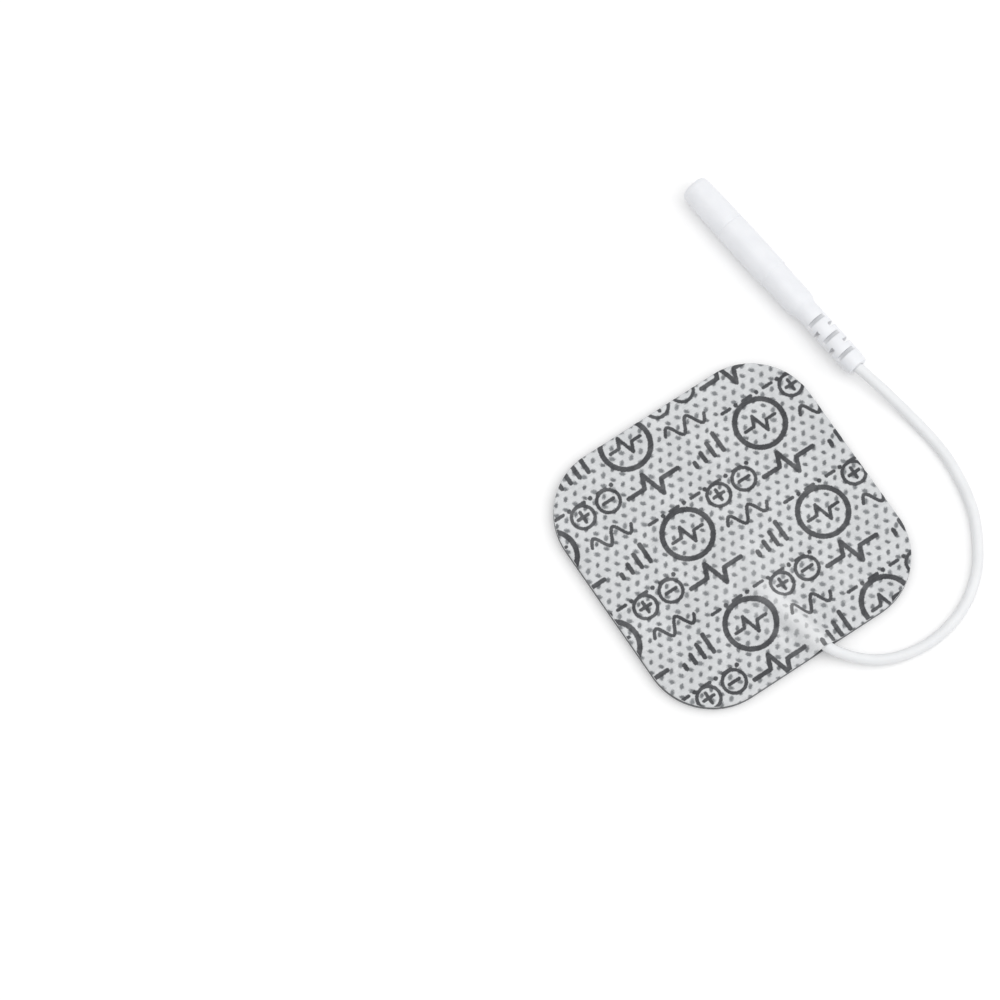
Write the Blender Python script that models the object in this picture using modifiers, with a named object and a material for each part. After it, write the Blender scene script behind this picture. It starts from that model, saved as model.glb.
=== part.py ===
"""Self-adhesive stimulation electrode: a gel pad with its own lead and a moulded 2 mm socket.

Blender 4.5, metres, +Z up. The pad lies on its gel face, which is at z = 0 with its centre at the
origin. The lead leaves the -Y side, runs round the pad's corner and ends in the connector, which lies
beside the +X side.
"""

import math

import bmesh
import bpy
from mathutils import Matrix, Vector

MM = 0.001

# Pad, three layers cut by one die
PAD_SIDE = 40.0 * MM
PAD_CORNER_RADIUS = 9.5 * MM
GEL_THICKNESS = 1.0 * MM
FILM_THICKNESS = 0.15 * MM
CLOTH_THICKNESS = 0.35 * MM
BOND_GAP = 0.05 * MM
CORNER_SEGMENTS = 12

# Lead, with its jacket held between the film and the cloth
LEAD_DIAMETER = 1.5 * MM
LEAD_HELD_LENGTH = 9.5 * MM
LEAD_EXIT_X = 1.3 * MM
LEAD_EXIT_TURN = math.radians(12.0)
FLOOR_CLEARANCE = 0.02 * MM
END_GAP = 0.3 * MM

# Route after the exit, from the pad's +X -Y corner: millimetres across and along, then the share of
# the height that is left of the fall from the exit, or gained of the rise to the connector
ROUTE_FALL = (
    (-16.95, -2.34, 0.80),
    (-15.18, -4.28, 0.52),
    (-13.02, -5.67, 0.24),
    (-10.57, -6.50, 0.04),
)
ROUTE_FLOOR = (
    (-7.88, -7.03),
    (-4.93, -7.00),
    (-2.67, -6.58),
    (-0.14, -5.76),
    (2.33, -4.35),
    (4.28, -2.78),
    (5.66, -1.24),
    (7.15, 1.07),
    (8.57, 3.46),
    (9.52, 6.17),
    (10.10, 9.11),
    (10.48, 12.20),
    (10.39, 15.37),
)
ROUTE_RISE = (
    (9.92, 18.78, 0.06),
    (9.19, 22.38, 0.34),
    (8.33, 26.07, 0.74),
)
ROUTE_POINT_STEP = 2.0

# Cloth ridge over the lead, and the low swell over its bare strands
RIDGE_CLEARANCE = 0.05 * MM
RIDGE_FADE = 5.0 * MM
RIDGE_COLUMNS = 16
SWELL_CLEARANCE = 0.1 * MM
SWELL_FADE = 2.4 * MM
SWELL_COLUMN_WIDTH = 1.2 * MM
CLOTH_ROW_LENGTH = 1.0 * MM
SLOPE_STEP = 0.05 * MM

# Bare strands, spread flat on the film past the jacket's inner end
STRAND_COUNT = 9
STRAND_THICKNESS = 0.2 * MM
BUNDLE_DIAMETER = 0.6 * MM
BUNDLE_LENGTH = 2.0 * MM
BUNDLE_DROP_LENGTH = 3.0 * MM
STRAND_REACH = 6.0 * MM
FAN_HALF_ANGLE = math.radians(30.0)
BUNDLE_CUTS = 8

# Connector, lying level: where its collar ends, from the pad's +X -Y corner, which way it points, and
# how far it is rolled towards the pad
COLLAR_OFFSET_X = 7.36 * MM
COLLAR_OFFSET_Y = 29.76 * MM
CONNECTOR_HEADING = math.radians(96.6)
CONNECTOR_ROLL = math.radians(12.0)

# Moulded housing, from the tip back to the collar
NOSE_LENGTH = 7.7 * MM
GRIP_LENGTH = 9.15 * MM
BODY_LENGTH = 5.75 * MM
SHOULDER_LENGTH = 0.85 * MM
COLLAR_LENGTH = 1.7 * MM
TIP_DIAMETER = 4.1 * MM
GRIP_DIAMETER = 4.45 * MM
STEP_DEPTH = 0.13 * MM
BODY_TAPER = 0.05 * MM
RELIEF_DIAMETER = 3.3 * MM
COLLAR_DIAMETER = 3.0 * MM
COLLAR_EDGE_RADIUS = 0.2 * MM
RING_GROOVE_WIDTH = 0.3 * MM
RING_GROOVE_DEPTH = 0.09 * MM
RING_STEP_DEPTH = 0.05 * MM
EDGE_SEGMENTS = 5
NOSE_SEGMENTS = 5
HOUSING_STEPS = 40

# Bend relief: opposed pairs of slots, each turned a quarter from the last
SLOT_COUNT = 5
SLOT_WIDTH = 0.6 * MM
SLOT_PITCH = 1.52 * MM
FIRST_SLOT_OFFSET = 2.45 * MM
LAST_SLOT_OFFSET = 0.32 * MM
SLOT_WEB = 1.8 * MM

# Socket contact for a 2 mm pin, and the mouth in front of it
SOCKET_DIAMETER = 2.0 * MM
CONTACT_WALL = 0.32 * MM
CONTACT_TUBE_LENGTH = 10.5 * MM
CONTACT_FLOOR = 0.8 * MM
CONTACT_CHAMFER = 0.15 * MM
CONTACT_RECESS = 1.0 * MM
CONTACT_STEPS = 28
SLIT_WIDTH = 0.3 * MM
SLIT_LENGTH = 7.0 * MM
CRIMP_DIAMETER = 1.9 * MM
CRIMP_LENGTH = 3.6 * MM
CRIMP_PRESS_DEPTH = 0.18 * MM
MOUTH_CLEARANCE = 0.1 * MM
MOUTH_CHAMFER = 0.1 * MM
MOUTH_LAND = 0.05 * MM

# Heights and other places that follow from the sizes above
FILM_Z = GEL_THICKNESS + BOND_GAP
FILM_TOP_Z = FILM_Z + FILM_THICKNESS
CLOTH_Z = FILM_TOP_Z + BOND_GAP
LEAD_RADIUS = LEAD_DIAMETER / 2
LEAD_HELD_Z = FILM_TOP_Z + BOND_GAP + LEAD_RADIUS
LEAD_FLOOR_Z = LEAD_RADIUS + FLOOR_CLEARANCE
CONNECTOR_Z = GRIP_DIAMETER / 2 + FLOOR_CLEARANCE
RIDGE_HEIGHT = LEAD_HELD_Z + LEAD_RADIUS + RIDGE_CLEARANCE - CLOTH_Z
# A cosine ridge of this half width has a crest as round as the clearance circle of the lead
RIDGE_HALF_WIDTH = math.pi * math.sqrt(RIDGE_HEIGHT * (LEAD_RADIUS + RIDGE_CLEARANCE) / 2)
SWELL_HEIGHT = STRAND_THICKNESS + SWELL_CLEARANCE
CONTACT_DIAMETER = SOCKET_DIAMETER + 2 * CONTACT_WALL
CONTACT_LENGTH = CONTACT_TUBE_LENGTH + CRIMP_LENGTH
# The tip is rounded from its side to the narrow flat ring round the mouth
TIP_EDGE_RADIUS = (TIP_DIAMETER - SOCKET_DIAMETER) / 2 - MOUTH_CLEARANCE - MOUTH_CHAMFER - MOUTH_LAND
RELIEF_LENGTH = FIRST_SLOT_OFFSET + (SLOT_COUNT - 1) * SLOT_PITCH + SLOT_WIDTH / 2 + LAST_SLOT_OFFSET
HOUSING_LENGTH = (
    NOSE_LENGTH + GRIP_LENGTH + BODY_LENGTH + SHOULDER_LENGTH + RELIEF_LENGTH + COLLAR_LENGTH
)

EXIT = Vector((LEAD_EXIT_X, -PAD_SIDE / 2, LEAD_HELD_Z))
OUTWARD = Vector((math.sin(LEAD_EXIT_TURN), -math.cos(LEAD_EXIT_TURN), 0.0))
INNER_END = EXIT - OUTWARD * LEAD_HELD_LENGTH
ROUTE_CORNER = Vector((PAD_SIDE / 2, -PAD_SIDE / 2, 0.0))
COLLAR_END = ROUTE_CORNER + Vector((COLLAR_OFFSET_X, COLLAR_OFFSET_Y, CONNECTOR_Z))
CONNECTOR_AXIS = Vector((math.cos(CONNECTOR_HEADING), math.sin(CONNECTOR_HEADING), 0.0))

COLOURS = {
    "backing_cloth": ((0.72, 0.73, 0.745), 0.85, 0.0),
    "conductive_film": ((0.03, 0.03, 0.032), 0.5, 0.0),
    "gel_layer": ((0.42, 0.43, 0.44), 0.25, 0.0),
    "strand_fan": ((0.60, 0.36, 0.22), 0.35, 1.0),
    "lead_cord": ((0.85, 0.85, 0.85), 0.45, 0.0),
    "connector_housing": ((0.87, 0.87, 0.86), 0.40, 0.0),
    "socket_contact": ((0.75, 0.72, 0.64), 0.25, 1.0),
}


def clear_scene():
    """Removes every object, so that the script can be run again."""
    for obj in list(bpy.data.objects):
        bpy.data.objects.remove(obj, do_unlink=True)


def new_collection(name):
    """Makes a collection in the scene."""
    collection = bpy.data.collections.new(name)
    bpy.context.scene.collection.children.link(collection)
    return collection


def finish_material(name):
    """Makes the Principled material of one part."""
    colour, roughness, metallic = COLOURS[name]
    material = bpy.data.materials.new(name)
    material.use_nodes = True
    shader = material.node_tree.nodes["Principled BSDF"]
    shader.inputs["Base Color"].default_value = (*colour, 1.0)
    shader.inputs["Roughness"].default_value = roughness
    shader.inputs["Metallic"].default_value = metallic
    return material


def add_part(collection, name, data):
    """Links a part to its collection and gives it its own material."""
    obj = bpy.data.objects.new(name, data)
    obj.data.materials.append(finish_material(name))
    collection.objects.link(obj)
    return obj


def smooth_share(value):
    """Eases from 0 to 1 as value goes from 0 to 1."""
    value = min(max(value, 0.0), 1.0)
    return value * value * (3.0 - 2.0 * value)


def pad_outline():
    """Points round the pad: a square whose corners are quarter circles."""
    reach = PAD_SIDE / 2 - PAD_CORNER_RADIUS
    points = []
    for corner in range(4):
        start = corner * math.pi / 2
        centre_x = reach * (1 if corner in (0, 3) else -1)
        centre_y = reach * (1 if corner in (0, 1) else -1)
        for step in range(CORNER_SEGMENTS + 1):
            angle = start + step / CORNER_SEGMENTS * math.pi / 2
            points.append(
                (
                    centre_x + PAD_CORNER_RADIUS * math.cos(angle),
                    centre_y + PAD_CORNER_RADIUS * math.sin(angle),
                )
            )
    return points


def flat_curve(name, points, thickness):
    """Makes a filled flat outline of the given thickness, centred on z = 0."""
    curve = bpy.data.curves.new(name, "CURVE")
    curve.dimensions = "2D"
    curve.fill_mode = "BOTH"
    curve.extrude = thickness / 2
    spline = curve.splines.new("POLY")
    spline.points.add(len(points) - 1)
    for place, (x, y) in zip(spline.points, points):
        place.co = (x, y, 0.0, 1.0)
    spline.use_cyclic_u = True
    return curve


def mesh_of_curve(curve):
    """Turns a curve into a mesh with its seams merged, and removes the curve."""
    holder = bpy.data.objects.new(curve.name, curve)
    bpy.context.scene.collection.objects.link(holder)
    evaluated = holder.evaluated_get(bpy.context.evaluated_depsgraph_get())
    mesh = bpy.data.meshes.new_from_object(evaluated)
    bpy.data.objects.remove(holder, do_unlink=True)
    bpy.data.curves.remove(curve)
    shape = bmesh.new()
    shape.from_mesh(mesh)
    bmesh.ops.remove_doubles(shape, verts=shape.verts, dist=0.001 * MM)
    shape.to_mesh(mesh)
    shape.free()
    return mesh


def add_pad_layer(collection, name, bottom, thickness):
    """Makes one flat layer of the pad."""
    layer = add_part(collection, name, flat_curve(name, pad_outline(), thickness))
    layer.location.z = bottom + thickness / 2
    return layer


def ridge_place(x, y):
    """Gives a point's distance across the lead's line and inwards from the pad's edge along it."""
    offset = Vector((x, y, 0.0)) - EXIT
    across = offset.x * OUTWARD.y - offset.y * OUTWARD.x
    return across, -(offset.x * OUTWARD.x + offset.y * OUTWARD.y)


def swell_circle():
    """Gives the middle of the strand fan, inwards from the edge, and the radius that holds it."""
    middle = (BUNDLE_LENGTH + STRAND_REACH) / 2
    tip_in = BUNDLE_LENGTH + STRAND_REACH * math.cos(FAN_HALF_ANGLE)
    tip_across = STRAND_REACH * math.sin(FAN_HALF_ANGLE) + STRAND_THICKNESS
    return LEAD_HELD_LENGTH + middle, math.hypot(tip_in - middle, tip_across)


def cloth_lift(x, y):
    """Height of the cloth's underside over its flat level."""
    across, inward = ridge_place(x, y)
    share = min(abs(across) / RIDGE_HALF_WIDTH, 1.0)
    crest = 0.5 + 0.5 * math.cos(math.pi * share)
    along = 1.0 - smooth_share((inward - LEAD_HELD_LENGTH - END_GAP) / RIDGE_FADE)
    ridge = crest * along
    middle, radius = swell_circle()
    swell = 1.0 - smooth_share((math.hypot(across, inward - middle) - radius) / SWELL_FADE)
    return RIDGE_HEIGHT * ridge + SWELL_HEIGHT * swell * (1.0 - ridge)


def cloth_slope(x, y):
    """Steepness of the cloth's lift."""
    rise_x = cloth_lift(x + SLOPE_STEP, y) - cloth_lift(x - SLOPE_STEP, y)
    rise_y = cloth_lift(x, y + SLOPE_STEP) - cloth_lift(x, y - SLOPE_STEP)
    return math.hypot(rise_x, rise_y) / (2 * SLOPE_STEP)


def cloth_cuts():
    """Lists the cuts that give the cloth its grid: distances across the lead's line and inwards."""
    middle, radius = swell_circle()
    widest = radius + SWELL_FADE
    columns = [
        RIDGE_HALF_WIDTH * (2 * column / RIDGE_COLUMNS - 1) for column in range(RIDGE_COLUMNS + 1)
    ]
    extra = RIDGE_HALF_WIDTH + SWELL_COLUMN_WIDTH
    while extra < widest:
        columns += [-extra, extra]
        extra += SWELL_COLUMN_WIDTH
    row_count = math.ceil((middle + widest) / CLOTH_ROW_LENGTH)
    rows = [(row + 1) * CLOTH_ROW_LENGTH for row in range(row_count)]
    return columns, rows


def add_backing_cloth(collection):
    """Makes the cloth: the pad's outline, lifted over the lead and strands, its cut edge upright."""
    mesh = mesh_of_curve(flat_curve("backing_cloth", pad_outline(), 0.0))
    across_axis = Vector((OUTWARD.y, -OUTWARD.x, 0.0))
    columns, rows = cloth_cuts()
    shape = bmesh.new()
    shape.from_mesh(mesh)
    bmesh.ops.dissolve_faces(shape, faces=shape.faces)
    for distance in columns:
        bmesh.ops.bisect_plane(
            shape,
            geom=shape.verts[:] + shape.edges[:] + shape.faces[:],
            plane_co=Vector((EXIT.x, EXIT.y, 0.0)) + across_axis * distance,
            plane_no=across_axis,
            dist=0.001 * MM,
        )
    for distance in rows:
        bmesh.ops.bisect_plane(
            shape,
            geom=shape.verts[:] + shape.edges[:] + shape.faces[:],
            plane_co=Vector((EXIT.x, EXIT.y, 0.0)) - OUTWARD * distance,
            plane_no=OUTWARD,
            dist=0.001 * MM,
        )
    bmesh.ops.triangulate(shape, faces=shape.faces)
    raised = bmesh.ops.extrude_face_region(shape, geom=shape.faces[:])
    top = {item for item in raised["geom"] if isinstance(item, bmesh.types.BMVert)}
    for vert in shape.verts:
        x, y = vert.co.x, vert.co.y
        vert.co.z = CLOTH_Z + cloth_lift(x, y)
        if vert in top:
            vert.co.z += CLOTH_THICKNESS * math.hypot(1.0, cloth_slope(x, y))
    bmesh.ops.recalc_face_normals(shape, faces=shape.faces)
    shape.to_mesh(mesh)
    shape.free()
    mesh.shade_smooth()
    mesh.set_sharp_from_angle(angle=math.radians(40.0))
    return add_part(collection, "backing_cloth", mesh)


def fan_outline():
    """Flat outline of the strands: a straight bundle that opens into fingers, along +X."""
    half_bundle = BUNDLE_DIAMETER / 2
    half_strand = STRAND_THICKNESS / 2
    spacing = 2 * FAN_HALF_ANGLE / (STRAND_COUNT - 1)
    notch = half_strand / math.sin(spacing / 2)
    points = [(END_GAP, -half_bundle), (BUNDLE_LENGTH, -half_bundle)]
    for strand in range(STRAND_COUNT):
        angle = -FAN_HALF_ANGLE + strand * spacing
        along = Vector((math.cos(angle), math.sin(angle)))
        side = Vector((-along.y, along.x))
        tip = Vector((BUNDLE_LENGTH, 0.0)) + along * STRAND_REACH
        points.append(tuple(tip - side * half_strand))
        points.append(tuple(tip + side * half_strand))
        if strand < STRAND_COUNT - 1:
            between = angle + spacing / 2
            points.append(
                (BUNDLE_LENGTH + notch * math.cos(between), notch * math.sin(between))
            )
    points += [(BUNDLE_LENGTH, half_bundle), (END_GAP, half_bundle)]
    return points


def add_strand_fan(collection):
    """Makes the bare strands: flat on the film, rising to a round bundle at the jacket's end."""
    mesh = mesh_of_curve(flat_curve("strand_fan", fan_outline(), STRAND_THICKNESS))
    shape = bmesh.new()
    shape.from_mesh(mesh)
    for cut in range(1, BUNDLE_CUTS):
        bmesh.ops.bisect_plane(
            shape,
            geom=shape.verts[:] + shape.edges[:] + shape.faces[:],
            plane_co=(END_GAP + (BUNDLE_DROP_LENGTH - END_GAP) * cut / BUNDLE_CUTS, 0.0, 0.0),
            plane_no=(1.0, 0.0, 0.0),
            dist=0.001 * MM,
        )
    flat_z = FILM_TOP_Z + BOND_GAP + STRAND_THICKNESS / 2
    for vert in shape.verts:
        left = 1.0 - smooth_share((vert.co.x - END_GAP) / (BUNDLE_DROP_LENGTH - END_GAP))
        thicker = 1.0 + (BUNDLE_DIAMETER / STRAND_THICKNESS - 1.0) * left
        vert.co.z = flat_z + (LEAD_HELD_Z - flat_z) * left + vert.co.z * thicker
    bmesh.ops.triangulate(shape, faces=shape.faces)
    bmesh.ops.recalc_face_normals(shape, faces=shape.faces)
    shape.to_mesh(mesh)
    shape.free()
    fan = add_part(collection, "strand_fan", mesh)
    fan.location = (INNER_END.x, INNER_END.y, 0.0)
    fan.rotation_euler.z = math.atan2(-OUTWARD.y, -OUTWARD.x)
    return fan


def lead_route():
    """Points that the lead passes through, from its inner end to the connector's collar."""
    held = [INNER_END.lerp(EXIT, share / 3) for share in range(4)]
    fall = [
        ROUTE_CORNER
        + Vector((x * MM, y * MM, LEAD_FLOOR_Z + (LEAD_HELD_Z - LEAD_FLOOR_Z) * share))
        for x, y, share in ROUTE_FALL
    ]
    floor = [ROUTE_CORNER + Vector((x * MM, y * MM, LEAD_FLOOR_Z)) for x, y in ROUTE_FLOOR]
    rise = [
        ROUTE_CORNER
        + Vector((x * MM, y * MM, LEAD_FLOOR_Z + (CONNECTOR_Z - LEAD_FLOOR_Z) * share))
        for x, y, share in ROUTE_RISE
    ]
    return held + fall + floor + rise + [COLLAR_END - CONNECTOR_AXIS * END_GAP]


def smooth_curve(points, pieces=16):
    """Reads a Catmull-Rom curve through the points, with straight ends."""
    padded = [points[0] * 2 - points[1], *points, points[-1] * 2 - points[-2]]
    curve = []
    for before, start, end, after in zip(padded, padded[1:], padded[2:], padded[3:]):
        for piece in range(pieces):
            t = piece / pieces
            curve.append(
                0.5
                * (
                    2 * start
                    + (end - before) * t
                    + (2 * before - 5 * start + 4 * end - after) * t**2
                    + (3 * start - before - 3 * end + after) * t**3
                )
            )
    return curve + [points[-1]]


def even_points(curve, step):
    """Picks points along a fine curve about one step apart, with both ends."""
    runs = [0.0]
    for start, end in zip(curve, curve[1:]):
        runs.append(runs[-1] + (end - start).length)
    count = max(2, round(runs[-1] / step))
    picked = [curve[0]]
    place = 0
    for number in range(1, count):
        wanted = runs[-1] * number / count
        while runs[place + 1] < wanted:
            place += 1
        share = (wanted - runs[place]) / (runs[place + 1] - runs[place])
        picked.append(curve[place].lerp(curve[place + 1], share))
    return picked + [curve[-1]]


def add_lead_cord(collection):
    """Makes the lead's jacket as a tube along its route."""
    points = even_points(smooth_curve(lead_route()), ROUTE_POINT_STEP * LEAD_DIAMETER)
    curve = bpy.data.curves.new("lead_cord", "CURVE")
    curve.dimensions = "3D"
    curve.bevel_depth = LEAD_RADIUS
    curve.bevel_resolution = 2
    curve.use_fill_caps = True
    spline = curve.splines.new("POLY")
    spline.points.add(len(points) - 1)
    for place, point in zip(spline.points, points):
        place.co = (*point, 1.0)
    return add_part(collection, "lead_cord", curve)


def quarter_arc(centre, radius, start, segments):
    """Points of a quarter circle that turns clockwise from the start angle."""
    points = []
    for step in range(segments + 1):
        angle = start - step / segments * math.pi / 2
        points.append(
            (centre[0] + radius * math.cos(angle), centre[1] + radius * math.sin(angle))
        )
    return points


def housing_bore_profile():
    """Half section of the housing's inside, from the axis behind the contact up to the mouth."""
    top = HOUSING_LENGTH
    crimp_radius = CRIMP_DIAMETER / 2 + BOND_GAP
    tube_radius = CONTACT_DIAMETER / 2 + BOND_GAP
    mouth_radius = SOCKET_DIAMETER / 2 + MOUTH_CLEARANCE
    back = top - CONTACT_RECESS - CONTACT_LENGTH - BOND_GAP
    seat = top - CONTACT_RECESS - CONTACT_TUBE_LENGTH - BOND_GAP
    front = top - CONTACT_RECESS + BOND_GAP
    return [
        (0.0, back),
        (crimp_radius, back),
        (crimp_radius, seat),
        (tube_radius, seat),
        (tube_radius, front),
        (mouth_radius, front),
        (mouth_radius, top - MOUTH_CHAMFER),
        (mouth_radius + MOUTH_CHAMFER, top),
    ]


def housing_outer_profile():
    """Half section of the housing's outside, from the tip down to the collar's end."""
    top = HOUSING_LENGTH
    tip_radius = TIP_DIAMETER / 2
    grip_radius = GRIP_DIAMETER / 2
    ring = top - NOSE_LENGTH
    step = ring - GRIP_LENGTH
    shoulder = step - BODY_LENGTH
    relief = shoulder - SHOULDER_LENGTH
    nose_radius = grip_radius - RING_STEP_DEPTH
    body_radius = grip_radius - STEP_DEPTH
    collar_radius = COLLAR_DIAMETER / 2
    points = quarter_arc(
        (tip_radius - TIP_EDGE_RADIUS, top - TIP_EDGE_RADIUS),
        TIP_EDGE_RADIUS,
        math.pi / 2,
        EDGE_SEGMENTS,
    )
    nose_top = top - TIP_EDGE_RADIUS
    nose_bottom = ring + RING_GROOVE_WIDTH / 2
    for segment in range(1, NOSE_SEGMENTS + 1):
        share = segment / NOSE_SEGMENTS
        swell = math.sin(share * math.pi / 2)
        points.append(
            (
                tip_radius + (nose_radius - tip_radius) * swell,
                nose_top + (nose_bottom - nose_top) * share,
            )
        )
    points += [
        (grip_radius - RING_GROOVE_DEPTH, ring),
        (grip_radius, ring - RING_GROOVE_WIDTH / 2),
        (grip_radius, step + STEP_DEPTH),
        (body_radius, step),
        (body_radius - BODY_TAPER, shoulder),
        (RELIEF_DIAMETER / 2, relief),
        (RELIEF_DIAMETER / 2, COLLAR_LENGTH),
    ]
    points += quarter_arc(
        (collar_radius - COLLAR_EDGE_RADIUS, COLLAR_EDGE_RADIUS),
        COLLAR_EDGE_RADIUS,
        0.0,
        EDGE_SEGMENTS,
    )
    return points + [(0.0, 0.0)]


def contact_profile():
    """Half section of the contact: blind bore, tube, then the crimp barrel behind it."""
    top = HOUSING_LENGTH - CONTACT_RECESS
    bore_radius = SOCKET_DIAMETER / 2
    tube_radius = CONTACT_DIAMETER / 2
    crimp_radius = CRIMP_DIAMETER / 2
    seat = top - CONTACT_TUBE_LENGTH
    back = seat - CRIMP_LENGTH
    return [
        (0.0, seat + CONTACT_FLOOR),
        (bore_radius, seat + CONTACT_FLOOR),
        (bore_radius, top - CONTACT_CHAMFER),
        (bore_radius + CONTACT_CHAMFER, top),
        (tube_radius, top),
        (tube_radius, seat),
        (crimp_radius, seat),
        (crimp_radius, seat - CRIMP_LENGTH / 4),
        (crimp_radius - CRIMP_PRESS_DEPTH, seat - CRIMP_LENGTH / 3),
        (crimp_radius - CRIMP_PRESS_DEPTH, back + CRIMP_LENGTH / 3),
        (crimp_radius, back + CRIMP_LENGTH / 4),
        (crimp_radius, back),
        (0.0, back),
    ]


def add_turned_part(collection, name, profile, steps):
    """Turns a half section round the Z axis with a Screw modifier."""
    mesh = bpy.data.meshes.new(name)
    shape = bmesh.new()
    verts = [shape.verts.new((radius, 0.0, height)) for radius, height in profile]
    for start, end in zip(verts, verts[1:]):
        shape.edges.new((start, end))
    shape.to_mesh(mesh)
    shape.free()
    part = add_part(collection, name, mesh)
    turn = part.modifiers.new("turn", "SCREW")
    turn.steps = steps
    turn.render_steps = steps
    turn.use_merge_vertices = True
    turn.merge_threshold = 0.001 * MM
    return part


def add_box_cutter(collection, name, boxes):
    """Makes one hidden cutter from boxes given by their lowest and highest corners."""
    shape = bmesh.new()
    for low, high in boxes:
        low, high = Vector(low), Vector(high)
        size = high - low
        place = Matrix.Translation((low + high) / 2) @ Matrix.Diagonal((*size, 1.0))
        bmesh.ops.create_cube(shape, size=1.0, matrix=place)
    mesh = bpy.data.meshes.new(name)
    shape.to_mesh(mesh)
    shape.free()
    cutter = bpy.data.objects.new(name, mesh)
    cutter.hide_render = True
    cutter.display_type = "WIRE"
    collection.objects.link(cutter)
    return cutter


def cut_part(part, cutter):
    """Takes the cutter's boxes out of a part."""
    cut = part.modifiers.new(cutter.name, "BOOLEAN")
    cut.operation = "DIFFERENCE"
    cut.solver = "EXACT"
    cut.object = cutter


def relief_slot_boxes():
    """Boxes of the bend relief's slots, in opposed pairs that turn a quarter at each station."""
    reach = RELIEF_DIAMETER
    first = COLLAR_LENGTH + RELIEF_LENGTH - FIRST_SLOT_OFFSET
    boxes = []
    for slot in range(SLOT_COUNT):
        middle = first - slot * SLOT_PITCH
        low_z, high_z = middle - SLOT_WIDTH / 2, middle + SLOT_WIDTH / 2
        for near, far in ((SLOT_WEB / 2, reach), (-reach, -SLOT_WEB / 2)):
            if slot % 2 == 0:
                boxes.append(((near, -reach, low_z), (far, reach, high_z)))
            else:
                boxes.append(((-reach, near, low_z), (reach, far, high_z)))
    return boxes


def add_connector(collection, cutters):
    """Makes the moulded housing and its contact, laid level beside the pad."""
    upright = Vector((0.0, 0.0, 1.0))
    across = CONNECTOR_AXIS.cross(upright)
    turn = Matrix((upright, across, CONNECTOR_AXIS)).transposed().to_4x4()
    turn = turn @ Matrix.Rotation(-CONNECTOR_ROLL, 4, "Z")
    lay = bpy.data.objects.new("connector_lay", None)
    lay.matrix_world = Matrix.Translation(COLLAR_END) @ turn
    collection.objects.link(lay)

    profile = housing_bore_profile() + housing_outer_profile()
    housing = add_turned_part(collection, "connector_housing", profile, HOUSING_STEPS)
    slots = add_box_cutter(cutters, "relief_slot_cutter", relief_slot_boxes())
    cut_part(housing, slots)

    contact = add_turned_part(collection, "socket_contact", contact_profile(), CONTACT_STEPS)
    contact_top = HOUSING_LENGTH - CONTACT_RECESS
    slit = add_box_cutter(
        cutters,
        "contact_slit_cutter",
        [
            (
                (0.0, -SLIT_WIDTH / 2, contact_top - SLIT_LENGTH),
                (CONTACT_DIAMETER, SLIT_WIDTH / 2, contact_top + CONTACT_DIAMETER),
            )
        ],
    )
    cut_part(contact, slit)

    for piece in (housing, slots, contact, slit):
        piece.parent = lay
    return housing, contact


def main():
    """Builds the pad, its lead and its connector."""
    clear_scene()
    parts = new_collection("tens_electrode_pad")
    cutters = new_collection("cutters")
    add_pad_layer(parts, "gel_layer", 0.0, GEL_THICKNESS)
    add_pad_layer(parts, "conductive_film", FILM_Z, FILM_THICKNESS)
    add_backing_cloth(parts)
    add_strand_fan(parts)
    add_lead_cord(parts)
    add_connector(parts, cutters)


main()
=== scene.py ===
"""Looks of the stimulation electrode pad: its printed cloth, gel, film, lead and connector."""

import math

import bmesh
import bpy
import numpy as np
from mathutils import Matrix, Vector


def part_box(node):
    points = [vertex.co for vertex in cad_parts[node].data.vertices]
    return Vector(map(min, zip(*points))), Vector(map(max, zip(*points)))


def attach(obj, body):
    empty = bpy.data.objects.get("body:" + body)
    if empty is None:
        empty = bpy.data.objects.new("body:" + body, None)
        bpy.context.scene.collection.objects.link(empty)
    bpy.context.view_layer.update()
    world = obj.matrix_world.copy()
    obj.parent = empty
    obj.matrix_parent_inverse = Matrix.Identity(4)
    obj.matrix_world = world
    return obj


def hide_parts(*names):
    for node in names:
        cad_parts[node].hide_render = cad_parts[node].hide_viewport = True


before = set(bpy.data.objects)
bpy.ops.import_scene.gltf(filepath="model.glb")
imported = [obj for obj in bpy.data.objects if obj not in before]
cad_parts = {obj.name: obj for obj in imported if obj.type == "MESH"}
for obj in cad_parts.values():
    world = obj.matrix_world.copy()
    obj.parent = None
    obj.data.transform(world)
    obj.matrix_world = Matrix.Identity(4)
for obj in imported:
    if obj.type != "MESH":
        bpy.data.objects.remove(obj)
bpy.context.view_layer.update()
FILM_TOP_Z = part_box("conductive_film")[1].z
FILM_BOTTOM_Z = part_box("conductive_film")[0].z
GEL_TOP_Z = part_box("gel_layer")[1].z

MM = 0.001

# Pad and lead, as the CAD frame has them
PAD_HALF = 20.0 * MM
PAD_CORNER_RADIUS = 9.5 * MM
CLOTH_THICKNESS = 0.35 * MM
BOND_GAP = 0.05 * MM
LEAD_DIAMETER = 1.5 * MM
LEAD_HELD_LENGTH = 9.5 * MM
LEAD_EXIT_X = 1.3 * MM
LEAD_EXIT_TURN = math.radians(12.0)
FLOOR_CLEARANCE = 0.02 * MM
LEAD_RADIUS = LEAD_DIAMETER / 2
CLOTH_Z = FILM_TOP_Z + BOND_GAP
LEAD_HELD_Z = FILM_TOP_Z + BOND_GAP + LEAD_RADIUS
LEAD_FLOOR_Z = LEAD_RADIUS + FLOOR_CLEARANCE
EXIT = Vector((LEAD_EXIT_X, -PAD_HALF, LEAD_HELD_Z))
OUTWARD = Vector((math.sin(LEAD_EXIT_TURN), -math.cos(LEAD_EXIT_TURN), 0.0))
INNER_END = EXIT - OUTWARD * LEAD_HELD_LENGTH
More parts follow.
